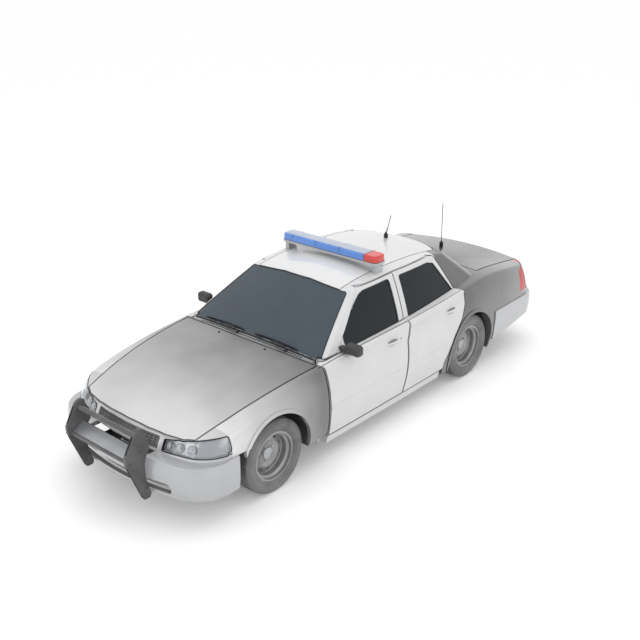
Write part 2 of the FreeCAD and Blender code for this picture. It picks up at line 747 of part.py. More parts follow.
# hinge brackets that reach out to the doors' inner faces, behind the hinge axes
behind_door = door_inner.copy()
behind_door.translate(Vector(0, -SEAT, 0))
brackets = []
for s in (678, 1802):
    for z in (belt - 560, belt - 210):
        foot = s_box(s - 40, s + 45, 500, FAR, z, z + 70).common(pocket)
        bracket = s_box(s, s + 45, 500, FAR, z, z + 70).common(behind_door)
        brackets.append(bracket.fuse(foot).cut(room))
under_hood = thin_inner.copy()
under_hood.translate(Vector(0, 0, -SEAT))
brackets.append(s_box(540, 604, 690, 760, belt - 130, 1100).common(under_hood))
boot_bracket = s_box(3348, 3408, 640, 760, belt - 60, 1200).common(under_hood)
side_frame = ring.fuse([pillar, sill_part, *brackets])
solid("side_frame_left", side_frame)
solid("side_frame_right", mirrored(side_frame))

roof = pocket_shell.common(s_box(600, 3500, -ROOF_SEAM, ROOF_SEAM, belt + 200, 1600))
roof = roof.cut(screen_cut).cut(back_cut)
solid("roof_panel", roof)

# ----------------------------------------------------------------------------- tail
lid_y = float(D.lid_half_width)
rear_top = float(D.rear_bumper_top)
lamp_in = float(D.tail_lamp_inner_y)
lamp_low = float(D.tail_lamp_low)
lamp_high = float(D.tail_lamp_high)
tail = REAR + float(D.rear_overhang)


def lid_prism(grow):
    """The boot lid's outline: the deck between the quarters and the upper tail between the lamps."""
    deck = s_box(3330 - grow, tail + 300, -lid_y - grow, lid_y + grow, lamp_high + 12 - grow, 1300)
    end = s_box(tail - 330, tail + 300, -lamp_in + 20 - grow, lamp_in - 20 + grow,
                lamp_low + 5 - grow, lamp_high + 30)
    return deck.fuse(end)


lid = biggest(thin_shell.common(lid_prism(0)))
solid("boot_lid", lid)
lid_hole = lid_prism(gap)
lamp_reach = tail - float(D.tail_lamp_reach)
lamp_block = side_prism([(lamp_reach, lamp_low), (lamp_reach + 30, lamp_high - 20),
                         (lamp_reach + 48, lamp_high), (tail + 300, lamp_high),
                         (tail + 300, lamp_low)], lamp_in, FAR)
lamp_block = lamp_block.fuse(side_prism([(lamp_reach + 47, lamp_high - 5),
                                         (lamp_reach + 200, lamp_high + 35),
                                         (tail + 300, lamp_high + 35),
                                         (tail + 300, lamp_high - 5)], lid_y + 12, FAR))
tail_lamp = biggest(thin_shell.common(lamp_block))
solid("tail_lamps", loose([tail_lamp, mirrored(tail_lamp)]))
tail_zone = s_box(tail - 330, tail + 300, -lamp_in, lamp_in, rear_top - 60, lamp_high)
tail_panel = biggest(thin_shell.common(tail_zone).cut(lid_hole))

quarter_zone = s_box(2300, 4600, 0, FAR, 200, 1600).cut(
    s_box(2300, 3600, 0, ROOF_SEAM, belt + 200, 1600)).cut(
    s_box(2300, 2640, 0, FAR, belt + 380, 1600)).cut(
    s_box(REAR + 430, 4700, 0, FAR, 0, rear_top))
quarter = pocket_shell.common(quarter_zone).cut(s_box(3200, 4700, 0, 528, 0, 985))
quarter = quarter.cut(door_holes["rear"]).cut(back_cut).cut(rear_arch).cut(lid_hole)
quarter = quarter.cut(lamp_block).cut(tail_zone).cut(s_box(2300, 2425, 0, FAR, 0, DOOR_BOTTOM - gap))
quarter = biggest(quarter)
quarter_lip = lip(REAR, float(D.rear_arch_radius)).common(quarter_zone).cut(door_holes["rear"])
quarter = quarter.fuse([quarter_lip.common(s_box(2300, REAR + 430, 0, FAR, 0, 1200)),
                        boot_bracket])
solid("quarter_panel_left", quarter)
solid("quarter_panel_right", mirrored(quarter))

# ----------------------------------------------------------------------------- bumpers
out = float(D.bumper_stand_out)
BUMPER_ROWS = [
    # z, nose and tail setbacks, tuck at nose, middle and tail
    (-760, 90, 80, 96, 70, 96),
    (-680, 30, 30, 56, 40, 56),
    (-560, 5, 8, 40, 20, 40),
    (-400, 12, 0, 36, 6, 30),
    (-320, 60, 40, 44, 8, 38),
]


def bumper_form(inset):
    """The solid inside both bumpers' covers, or their outside at inset 0."""
    outlines = []
    for z, nose_in, tail_in, *tucks in BUMPER_ROWS:
        halves = [float(half_width) + out - tuck - inset for tuck in tucks]
        outlines.append(waterline(belt + z, -float(D.front_overhang) + nose_in + inset,
                                  tail - tail_in - inset, *halves, BODY_BOWS, BODY_CORNERS,
                                  BODY_WIDEST))
    return Part.makeLoft(outlines, True, False)


bumper_skin = bumper_form(0).cut(bumper_form(float(D.bumper_wall)))
front_zone = s_box(-1300, -280, -FAR, FAR, 0, bumper_top)
front_bumper = bumper_skin.common(front_zone).cut(front_arch).cut(mirrored(front_arch))
wedge = s_box(-float(D.front_arch_radius) - 60, 0, -FAR, FAR, 0, 1000)
intake_y = float(D.intake_half_width)
intake = end_prism([(intake_y, float(D.intake_low)), (intake_y, float(D.intake_high)),
                    (-intake_y, float(D.intake_high)), (-intake_y, float(D.intake_low))],
                   -1400, -700, round_by=44)
foot = side_prism([(-1400, 0), (-1400, float(D.front_bumper_low)), (-500, float(D.front_bumper_low)),
                   (-300, float(D.front_bumper_low) + 14), (-300, 0)], -FAR, FAR)
front_ledge = bumper_form(0).common(s_box(-1300, -280, -FAR, FAR, bumper_top - 34, bumper_top))
front_ledge = front_ledge.cut(thin_inner).cut(s_box(-1300, -280, -380, 380, 0, 1000))
front_bumper = front_bumper.fuse(front_ledge).cut(intake).cut(wedge).cut(foot)
solid("front_bumper", biggest(front_bumper))
rear_zone = s_box(REAR + float(D.rear_arch_radius) + 48, 4700, -FAR, FAR, 0, rear_top)
rear_foot = side_prism([(3200, 0), (3200, float(D.rear_bumper_low)),
                        (REAR + 430, float(D.rear_bumper_low)), (tail - 60, float(D.rear_bumper_end)),
                        (tail + 60, float(D.rear_bumper_end)), (tail + 60, 0)], -FAR, FAR)
rear_ledge = bumper_form(0).common(s_box(3300, 4700, -FAR, FAR, rear_top - 34, rear_top))
rear_bumper = bumper_skin.common(rear_zone).fuse(rear_ledge.cut(thin_inner).common(rear_zone))
rear_bumper = rear_bumper.cut(rear_foot)
rear_bumper = biggest(rear_bumper)
solid("rear_bumper", rear_bumper)
solid("tail_panel", biggest(tail_panel.cut(rear_bumper)))

# ----------------------------------------------------------------------------- doors and glass
# the front doors' inner top corners are cut back, so that they swing past the pillars' feet
swing_relief = s_box(600, 662, 0, 830, belt - 94, FAR)
for place_name in ("front", "rear"):
    panel_shape = door_shell.common(door_cuts[place_name]).cut(window_cuts[place_name])
    panel_shape = panel_shape.cut(swing_relief)
    panel_shape = biggest(panel_shape)
    glass = biggest(pane.common(window_cuts[place_name]).common(door_cuts[place_name]))
    for side in ("left", "right"):
        hand = (lambda shape: shape) if side == "left" else mirrored
        solid(f"{place_name}_door_{side}", hand(panel_shape))
        solid(f"{place_name}_door_glass_{side}", hand(glass))
screen = pane.common(screen_cut).cut(door_holes["front"]).cut(mirrored(door_holes["front"]))
screen = biggest(screen)
back_glass = biggest(pane.common(back_cut))
solid("screens", loose([screen, back_glass]))

# ----------------------------------------------------------------------------- chassis
rail_y = D.rail_y
floor_z = D.rail_low + D.rail_height
FRONT_KICK = 150
REAR_KICK = 273
TAIL_KICK = 153
RAIL_ENDS = (-870, REAR + 1270)


def rail_line(shift):
    """A rail's lower line moved up by shift, nose to tail, as (x, z)."""
    z = D.rail_low + shift
    axle = D.wheelbase
    return [(station(RAIL_ENDS[0]), z + FRONT_KICK), (station(330), z + FRONT_KICK), (station(580), z),
            (station(axle - 593), z), (station(axle - 393), z + REAR_KICK),
            (station(axle + 250), z + REAR_KICK), (station(axle + 430), z + TAIL_KICK),
            (station(axle + 1270), z + TAIL_KICK)]


pieces = []
for side, sign in (("left", 1), ("right", -1)):
    outline = rail_line(0) + rail_line(D.rail_height)[::-1]
    pieces.append(slab("rail_" + side, outline, D.rail_width, rail_y * sign))
    pieces.append(box("engine_post", station(55), rail_y * sign - 30, D.rail_low - 20, 110, 60,
                      FRONT_KICK + 22))
    pieces.append(box("arm_tower", station(45), rail_y * sign - 30,
                      D.rail_low + D.rail_height + FRONT_KICK - 2, 90, 60, 80))
MEMBERS = [
    # name, station, height above the rails' underside, depth along the car, height
    ("nose_member", -760, FRONT_KICK + 15, 70, 60),
    ("engine_member", 0, -20, 110, 60),
    ("gearbox_member", 1150, 30, 90, 70),
    ("seat_member", 2050, 30, 90, 70),
    ("tail_member", REAR + 900, TAIL_KICK + 15, 70, 70),
]
half_clear = rail_y - 25
for name, s, lift, depth, height in MEMBERS:
    pieces.append(box(name, station(s) - depth / 2, -half_clear, D.rail_low + lift, depth,
                      half_clear * 2, height))
inside_bumper = bumper_form(float(D.bumper_wall))
BEAMS = [("front_beam", -1100, RAIL_ENDS[0] + 12, FRONT_KICK + 87),
         ("rear_beam", RAIL_ENDS[1] - 12, tail + 100, TAIL_KICK + 10)]
for name, s0, s1, lift in BEAMS:
    z = float(D.rail_low) + lift
    beam = doc.addObject("Part::Feature", name)
    beam.Shape = inside_bumper.common(s_box(s0, s1, -640, 640, z, z + 80))
    pieces.append(beam)
keep("chassis_frame", joined("chassis_frame", *pieces))

# ----------------------------------------------------------------------------- wheels
R = D.tyre_radius
rim_r = D.rim_radius
rim_half = D.rim_width / 2
tyre_half = D.tyre_width / 2
hub_face = -D.wheel_dish
tyre_outside = [(rim_half - 7, rim_r), (rim_half - 6, rim_r + 17), (tyre_half - 13, rim_r + 30),
                (tyre_half - 2, rim_r + 55), (tyre_half, rim_r + 76), (tyre_half - 3, R - 34),
                (tyre_half - 11, R - 15), (tyre_half - 27, R - 4), (tyre_half - 45, R)]
tyre_inside = [(rim_half - 23, rim_r), (rim_half - 22, rim_r + 18), (rim_half + 4, rim_r + 45),
               (rim_half + 9, rim_r + 72), (rim_half + 3, R - 27), (rim_half - 25, R - 13)]
tyre_profile = (tyre_outside + [(-a, r) for a, r in reversed(tyre_outside)]
                + [(-a, r) for a, r in tyre_inside] + tyre_inside[::-1])
h = rim_half
r = rim_r
wheel_profile = [(-h, r + 15), (-h + 6, r + 15), (-h + 7, r), (-h + 33, r - 2), (-45, r - 23),
                 (30, r - 23), (h - 33, r - 2), (h - 7, r), (h - 6, r + 15), (h, r + 15), (h, r - 8),
                 (h - 29, r - 10), (52, r - 31), (hub_face + 18, r - 31), (hub_face + 10, r - 38),
                 (hub_face + 24, 150), (hub_face + 32, 122), (hub_face + 20, 92),
                 (hub_face + 14, 66), (hub_face + 14, 0), (hub_face, 0), (hub_face, 78),
                 (hub_face + 10, 98), (hub_face + 20, 122), (hub_face + 12, 145),
                 (hub_face - 4, r - 38), (hub_face - 12, r - 31), (-48, r - 31),
                 (-h + 29, r - 10), (-h, r - 8)]
WHEELS = [("front_left", 0, front_y, 1), ("front_right", 0, front_y, -1),
          ("rear_left", D.wheelbase, rear_y, 1), ("rear_right", D.wheelbase, rear_y, -1)]
HAND_HOLES = 10
across = Vector(1, 0, 0)
for name, s, y, sign in WHEELS:
    centre = (station(s), y * sign, R)
    keep("tyre_" + name, turned("tyre_" + name, [(a * sign, b) for a, b in tyre_profile], centre))
    pressed = turned("pressing_" + name, [(a * sign, b) for a, b in wheel_profile], centre)
    cutters = []
    for i in range(HAND_HOLES):
        turn = 2 * math.pi * i / HAND_HOLES
        cutters.append(rod("hand_hole", 13, 90, station(s) + 152 * math.sin(turn), y * sign - 45,
                           R + 152 * math.cos(turn), across, -90))
    for cutter in cutters:
        bind(cutter, Placement_Base_y=y * sign - 45 + (hub_face + 6) * sign)
    holes = joined("hand_holes_" + name, *cutters)
    keep("wheel_" + name, without("wheel_" + name, pressed, holes))

# ----------------------------------------------------------------------------- axles and knuckles
low_arm = R - 150
high_arm = R + 128
arm_inner = rail_y + 30
for side, sign in (("left", 1), ("right", -1)):
    end = front_y + hub_face - D.running_gap
    inner = kingpin_y - 26
    low_post = low_arm + 30 + D.knuckle_gap
    spindle = rod("spindle", 32, end - kingpin_y, station(0), kingpin_y if sign > 0 else -end, R,
                  across, -90)
    upright = box("upright", station(32), inner if sign > 0 else -inner - 52, low_post, 64, 52,
                  high_arm - D.knuckle_gap - low_post)
    steer_arm = box("steer_arm", station(160), inner if sign > 0 else -inner - 34, R - 60, 130, 34,
                    26)
    plate = rod("brake_plate", 112, 14, station(0),
                kingpin_y + 25 if sign > 0 else -kingpin_y - 39, R, across, -90)
    keep("knuckle_" + side, joined("knuckle_" + side, spindle, upright, steer_arm, plate))
arms = []
for sign in (1, -1):
    reach = kingpin_y + 20 - arm_inner
    for z, height in ((low_arm, 30), (high_arm, 24)):
        arms.append(box("arm", station(40), arm_inner if sign > 0 else -arm_inner - reach, z, 80,
                        reach, height))
front_arms = doc.addObject("Part::Compound", "front_suspension")
front_arms.Links = arms
keep("front_suspension", front_arms)

tube_end = rear_y + hub_face - D.running_gap
axle_parts = [rod("axle_tube", D.axle_tube_radius, tube_end * 2, station(D.wheelbase), -tube_end, R,
                  across, -90)]
ball = doc.addObject("Part::Sphere", "differential")
bind(ball, Radius=D.differential_radius)
axle_parts.append(place(ball, station(D.wheelbase), 0, R))
axle_parts.append(rod("pinion_nose", 55, 250, station(D.wheelbase), 0, R, Vector(0, 1, 0), 90))
for sign in (1, -1):
    seat = R + D.axle_tube_radius - 8
    axle_parts.append(rod("spring", 52, D.rail_low + REAR_KICK - seat, station(D.wheelbase),
                          rail_y * sign, seat))
keep("rear_axle", joined("rear_axle", *axle_parts))

engine_z = D.rail_low - 20 + 60
engine_parts = [box("sump", station(210), -120, engine_z, 420, 240, 130),
                box("block", station(330), -215, engine_z + 100, 760, 430, 300),
                box("inlet", station(240), -130, engine_z + 380, 560, 260, 90),
                rod("gearbox", 105, 320, station(640), 0, engine_z + 190, Vector(0, 1, 0), 90)]
keep("engine_block", joined("engine_block", *engine_parts))
pipe_z = D.rail_low + 30 - 25.3
keep("exhaust", joined("exhaust",
                       rod("pipe", 25, D.wheelbase + 560, station(D.wheelbase + 1130), -230, pipe_z,
                           Vector(0, 1, 0), 90),
                       rod("silencer", 62, 520, station(1880), -230, D.rail_low + 33,
                           Vector(0, 1, 0), 90)))
# ----------------------------------------------------------------------------- wheelhouses
tubs = []
tub_space = []
for name, s, half, top, inner_y, inside, foot in TUBS:
    form = tub_form(s, half, top, inner_y, 0)
    tub_space.append(form)
    wall = form.cut(tub_form(s, half, top, inner_y, tub_wall)).common(inside)
    wall = wall.cut(s_box(s - 600, s + 600, 0, FAR, -100, foot))
    wall = biggest(wall.cut(s_box(s - 70, s + 70, inner_y - 20, inner_y + 20, 0, 520)))
    tubs += [wall, mirrored(wall)]
solid("wheelhouses", loose(tubs))

# ----------------------------------------------------------------------------- floor and cabin
floor_low = float(floor_z)
plate = float(D.floor_plate)
axle_s = REAR
UNDER = [(648, belt - 20), (648, floor_low + 60), (700, floor_low), (axle_s - 613, floor_low),
         (axle_s - 413, floor_low + REAR_KICK), (axle_s + 424, floor_low + REAR_KICK),
         (axle_s + 512, floor_low + TAIL_KICK), (tail - 120, floor_low + TAIL_KICK)]
UPPER = [(tail - 120, floor_low + TAIL_KICK + plate), (axle_s + 519, floor_low + TAIL_KICK + plate),
         (axle_s + 431, floor_low + REAR_KICK + plate), (axle_s - 421, floor_low + REAR_KICK + plate),
         (axle_s - 621, floor_low + plate), (706, floor_low + plate), (660, floor_low + 66),
         (660, belt - 20)]
pan = side_prism(UNDER + UPPER, -FAR, FAR).common(room)
for form in tub_space:
    pan = pan.cut(form).cut(mirrored(form))
solid("floor_pan", biggest(pan))

shelf = s_box(2790, 3310, -FAR, FAR, belt + 20, belt + 32).common(pocket)
shelf = shelf.cut(ring).cut(mirrored(ring))
solid("parcel_shelf", biggest(shelf))

seat_top = floor_low + plate
FRONT_CUSHION = [(1250, seat_top), (1230, seat_top + 130), (1215, seat_top + 225),
                 (1240, seat_top + 250), (1700, seat_top + 195), (1780, seat_top + 195),
                 (1750, seat_top)]
FRONT_BACK = [(1640, seat_top + 195), (1780, seat_top + 560), (1830, seat_top + 760),
              (1850, seat_top + 850), (1890, seat_top + 860), (1925, seat_top + 845),
              (1930, seat_top + 740), (1900, seat_top + 560), (1790, seat_top + 195)]
seats = []
for sign in (1, -1):
    for outline, thick in ((FRONT_CUSHION, 0), (FRONT_BACK, -30)):
        seats.append(slab("front_seat", [(station(s), z) for s, z in outline], D.seat_width + thick,
                          D.seat_y * sign))
keep("front_seats", joined("front_seats", *seats))
rear_floor = float(floor_z) + REAR_KICK + plate
REAR_CUSHION = [(1985, seat_top), (1965, seat_top + 170), (1990, seat_top + 205),
                (2440, seat_top + 175), (2292, seat_top)]
REAR_BACK = [(2500, rear_floor), (2400, seat_top + 165), (2420, seat_top + 200), (2610, belt + 25),
             (2660, belt + 40), (2740, belt + 20), (2640, rear_floor)]
base_y = float(D.rear_tub_inner_y) - 8
rear_seat = side_prism(REAR_CUSHION, -base_y, base_y)
rear_seat = rear_seat.fuse(side_prism(REAR_BACK, -base_y, base_y))
solid("rear_seat", rear_seat.cut(pan))

wheel_ring = doc.addObject("Part::Torus", "steering_rim")
bind(wheel_ring, Radius1=D.steering_wheel_radius, Radius2=14)
wheel_at = (station(1160), D.seat_y, belt - 30)
place(wheel_ring, *wheel_at, Vector(0, 1, 0), -64)
column = rod("steering_column", 24, 250, *wheel_at, Vector(0, 1, 0), 116 - 90 + 90)
spoke = rod("steering_spoke", 12, D.steering_wheel_radius * 2, wheel_at[0],
            D.seat_y - D.steering_wheel_radius, wheel_at[2], Vector(1, 0, 0), -90)
keep("steering_wheel", joined("steering_wheel", wheel_ring, column, spoke))

DASH = [(662, belt - 330), (790, belt - 210), (930, belt - 195), (1000, belt - 60),
        (960, belt - 14), (800, belt - 12), (662, belt - 40)]
dash = side_prism(DASH, -FAR, FAR).common(room)
doc.recompute()
solid("dashboard", biggest(dash.cut(nodes["steering_wheel"].Shape)))


# ----------------------------------------------------------------------------- roof equipment
bar_low = float(D.roof_height) - 3 + float(D.light_bar_lift)
bar_half = float(D.light_bar_length) / 2
bar_s = float(D.light_bar_station)
bar_deep = float(D.light_bar_depth) / 2


def bar_piece(y0, y1, z0, z1, shrink=0.0):
    """A length of the light bar with rounded upper edges and ends."""
    piece = s_box(bar_s - bar_deep + shrink, bar_s + bar_deep - shrink, -bar_half + shrink,
                  bar_half - shrink, z0, z1)
    upright = [e for e in piece.Edges if e.BoundBox.ZLength > 5]
    piece = piece.makeFillet(55, upright)
    return piece.common(s_box(0, 3000, y0, y1, 0, 2000))


bar_high = bar_low + float(D.light_bar_height)
base = bar_piece(-700, 700, bar_low, bar_low + 22)
feet = [s_box(bar_s - 55, bar_s + 55, y - 23, y + 23, bar_low - 110, bar_low + 5).cut(outer)
        for y in (-bar_half + 50, bar_half - 50)]
feet = [biggest(f.common(s_box(0, 3000, -700, 700, 1400, 1700))) for f in feet]
solid("light_bar", base.fuse(feet))
lens = bar_piece(-700, 700, bar_low + 22, bar_high, 4)
top_edges = [e for e in lens.Edges if e.BoundBox.ZMin > bar_high - 1]
lens = lens.makeFillet(18, top_edges)
red_y = bar_half - float(D.light_bar_end)
solid("light_bar_blue", lens.common(s_box(0, 3000, -700, red_y, 0, 2000)))
solid("light_bar_red", lens.common(s_box(0, 3000, red_y, 700, 0, 2000)))

def aerial(s, y, foot_z, length, lean, carrier):
    """A whip aerial: its foot follows the panel that carries it."""
    foot = Part.makeCylinder(22, 90, Vector(station(s), y, foot_z - 60))
    whip = Part.makeCylinder(4, length, Vector(station(s), y, foot_z + 20),
                             Vector(-math.sin(math.radians(lean)), 0, math.cos(math.radians(lean))))
    return biggest(foot.fuse(whip).cut(carrier))


solid("roof_aerial", aerial(2660, 0, float(D.roof_height) - 40, 220, 22, outer))
solid("deck_aerial", aerial(3795, -65, belt + 68, 480, 0, outer))

# ----------------------------------------------------------------------------- push bar
nose_s = -float(D.front_overhang)
reach = float(D.push_reach)
PLATE = [(nose_s + 90, 735), (nose_s + 55, 800), (nose_s + 50, 845), (nose_s + 12, 862),
         (nose_s - 40, 838), (nose_s - reach, 655), (nose_s - reach, 590), (nose_s - 5, 205),
         (nose_s + 60, 205), (nose_s + 90, 300)]
plates = []
upright = side_prism(PLATE, -float(D.push_plate) / 2, float(D.push_plate) / 2, round_by=20)
keep_clear = bumper_form(0).fuse(lower_body(0, 0))
for sign in (1, -1):
    one = upright.copy()
    one.translate(Vector(0, sign * float(D.push_plate_y), 0))
    plates.append(biggest(one.cut(keep_clear)))
cross_y = float(D.push_plate_y)
cross_top = Part.makeCylinder(22, 2 * cross_y, Vector(station(nose_s - 12), -cross_y, 795),
                              Vector(0, 1, 0))
cross_low = Part.makeCylinder(18, 2 * cross_y, Vector(station(nose_s - reach + 46), -cross_y, 584),
                              Vector(0, 1, 0))
SHELF = [(nose_s - reach + 46, 578), (nose_s - reach + 46, 596), (nose_s + 22, 650),
         (nose_s + 22, 634)]
shelf_plate = side_prism(SHELF, -cross_y, cross_y).cut(keep_clear)
push = plates[0].fuse([plates[1], cross_top.cut(keep_clear), cross_low, shelf_plate])
solid("push_bar", push)

# ----------------------------------------------------------------------------- mirrors
mirror_box = s_box(915, 1005, float(half_width) - 86, float(half_width) + 76, belt + 8, belt + 112)
mirror_box = mirror_box.makeFillet(32, mirror_box.Edges)
mirror_arm = s_box(922, 976, 780, float(half_width) - 50, belt + 22, belt + 60)
mirror_shape = biggest(mirror_box.fuse(mirror_arm).cut(outer))
solid("mirror_left", mirror_shape)
solid("mirror_right", mirrored(mirror_shape))

# ----------------------------------------------------------------------------- checks and export
doc.recompute()
for obj in doc.Objects:
    if {"Invalid", "Error"} & set(obj.State):
        raise RuntimeError(f"{obj.Name}: {obj.State}")
for label, obj in nodes.items():
    if obj.Shape.isNull() or not obj.Shape.isValid():
        raise RuntimeError(label + " is not a valid shape")
    obj.Shape.exportStep(f"parts/{label}.step")
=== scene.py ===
import math

import bmesh
import bpy
from mathutils import Matrix, Vector
from mathutils.bvhtree import BVHTree


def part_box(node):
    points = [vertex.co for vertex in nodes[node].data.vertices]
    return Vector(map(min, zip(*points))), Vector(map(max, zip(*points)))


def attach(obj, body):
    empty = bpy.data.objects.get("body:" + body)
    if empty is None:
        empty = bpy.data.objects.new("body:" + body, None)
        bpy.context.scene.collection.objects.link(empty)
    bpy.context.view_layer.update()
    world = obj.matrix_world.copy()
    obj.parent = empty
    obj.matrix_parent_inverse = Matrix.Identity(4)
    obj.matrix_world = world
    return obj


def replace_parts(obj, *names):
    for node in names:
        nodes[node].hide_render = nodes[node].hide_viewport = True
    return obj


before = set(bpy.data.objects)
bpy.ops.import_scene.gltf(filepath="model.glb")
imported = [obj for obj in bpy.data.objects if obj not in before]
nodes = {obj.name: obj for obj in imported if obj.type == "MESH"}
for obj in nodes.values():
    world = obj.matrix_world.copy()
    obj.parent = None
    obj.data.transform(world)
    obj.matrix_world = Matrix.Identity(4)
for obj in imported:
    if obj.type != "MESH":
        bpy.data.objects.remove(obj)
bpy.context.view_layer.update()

# Sizes are in millimetres, and at() and mm() turn them into the frame's metres. A station s is a
# distance behind the front axle.
scene = bpy.context.scene
AXLE = 1.595  # x of the front axle, in metres
WHEELBASE = 2913
WHEEL_Z = 345  # the tyres' radius too
SKY = 1500  # a height above the car, from which lines are dropped on it
SIDES = ((1, "left"), (-1, "right"))
LEFT, UP, DOWN = Vector((0, 1, 0)), Vector((0, 0, 1)), Vector((0, 0, -1))
FORE, AFT = Vector((1, 0, 0)), Vector((-1, 0, 0))
OUTSIDE = 3  # metres from the car at which a ray towards it starts
SAME_POINT = 1e-6  # metres


def mm(x, y, z):
    """An offset in the frame's directions."""
    return Vector((x / 1000, y / 1000, z / 1000))


def at(s, y, z):
    """A point at a station, left of the middle and above the ground."""
    return Vector((AXLE - s / 1000, y / 1000, z / 1000))


def turns(count):
    """The (cosine, sine) of evenly spaced angles round a full turn."""
    return [(math.cos(2 * math.pi * k / count), math.sin(2 * math.pi * k / count))
            for k in range(count)]


# ------------------------------ materials
ROUGH_VARY = 0.1
DUST = (0.24, 0.23, 0.21)
DUST_LOW, DUST_HIGH = 0.12, 0.55  # metres above the ground between which road dust fades out
FLAKE_SCALE, CLOUD_SCALE, DUST_SCALE = 2600, 1.6, 9
RELIEF = 0.001  # metres of height that a bump stands for
MIDDLE, WIDER = (0.35, 0.65), (0.3, 0.7)  # the ranges of a noise that are spread to a full one


def feed(tree, target, inputs):
    """Set a node's sockets, or link them where the value is another node's output."""
    for socket, value in inputs.items():
        if isinstance(value, bpy.types.NodeSocket):
            tree.links.new(value, target.inputs[socket])
        else:
            whole = (*value, 1) if isinstance(value, tuple) else value
            target.inputs[socket].default_value = whole


def shader_node(tree, kind, inputs, **settings):
    """A new shader node with its settings and inputs."""
    made = tree.nodes.new("ShaderNode" + kind)
    for key, value in settings.items():
        setattr(made, key, value)
    feed(tree, made, inputs)
    return made


def maths(tree, operation, first, second):
    return shader_node(tree, "Math", {0: first, 1: second}, operation=operation).outputs[0]


def material(name, color, rough, metal=0, coat=0, mottle=0.06, dust=0, bump=None, coat_rough=0.05,
             spec=0.5, scale=6.0, flake=0, clear=0, ior=1.45, ribs=None, fade=None):
    """A procedural surface: mottled colour, uneven roughness, fine bump and, low down, road dust.

    bump is (strength, scale of the noise), and ribs is (axis, scale, strength).
    The last argument is painted light, (axis, first, last, second colour, unevenness): the colour
    turns into the second one between those two places along the axis, as painted reflection and
    shade."""
    made = bpy.data.materials.new(name)
    made.use_nodes = True
    tree = made.node_tree
    shader = tree.nodes["Principled BSDF"]
    place = shader_node(tree, "TexCoord", {}).outputs["Object"]

    def noise(size, detail=3.0):
        return shader_node(tree, "TexNoise", {"Scale": size, "Detail": detail,
                                              "Vector": place}).outputs["Fac"]

    def ramp(source, low, high, first=0, last=1):
        return shader_node(tree, "MapRange", {"Value": source, "From Min": low, "From Max": high,
                                              "To Min": first, "To Max": last}).outputs["Result"]

    def mix(amount, first, last):
        return shader_node(tree, "Mix", {0: amount, 6: first, 7: last},
                           data_type="RGBA").outputs[2]

    def along(axis):
        return shader_node(tree, "SeparateXYZ", {0: place}).outputs[axis]

    shade = mix(ramp(noise(scale), *MIDDLE), tuple(c * (1 - mottle) for c in color),
                tuple(min(1, c * (1 + mottle)) for c in color))
    # Painted light: a reflection and shade gradient painted into the colour along one axis, its
    # edge made uneven by noise.
    if fade:
        axis, first, last, second, uneven = fade
        wavy = maths(tree, "ADD", along(axis),
                     ramp(noise(CLOUD_SCALE, 2), *WIDER, -uneven, uneven))
        shade = mix(ramp(wavy, first, last), shade, second)
    if flake:
        shade = mix(ramp(noise(FLAKE_SCALE, 0), 0.56, 0.66, 0, flake), shade,
                    tuple(min(1, c * 1.6 + 0.08) for c in color))
    if dust:
        low = ramp(along("Z"), DUST_LOW, DUST_HIGH, dust, 0)
        patchy = maths(tree, "MULTIPLY", low, ramp(noise(DUST_SCALE, 6), *WIDER, 0.3))
        shade = mix(patchy, shade, DUST)
    uneven_rough = ramp(noise(scale * 4), *WIDER, rough * (1 - ROUGH_VARY),
                        rough * (1 + ROUGH_VARY))
    feed(tree, shader, {"Base Color": shade, "Roughness": uneven_rough, "Metallic": metal,
                        "Coat Weight": coat, "Coat Roughness": coat_rough,
                        "Specular IOR Level": spec, "IOR": ior, "Transmission Weight": clear})
    if bump or ribs:
        if ribs:
            height = shader_node(tree, "TexWave", {"Scale": ribs[1], "Vector": place},
                                 bands_direction=ribs[0]).outputs["Fac"]
        else:
            height = noise(bump[1], 5)
        relief = shader_node(tree, "Bump", {"Strength": ribs[2] if ribs else bump[0],
                                            "Distance": RELIEF, "Height": height})
        feed(tree, shader, {"Normal": relief.outputs["Normal"]})
    return made


def paint(**how):
    """What all the body paints share: flakes under a hard clear coat."""
    return dict(coat_rough=0.04, flake=0.12, **how)


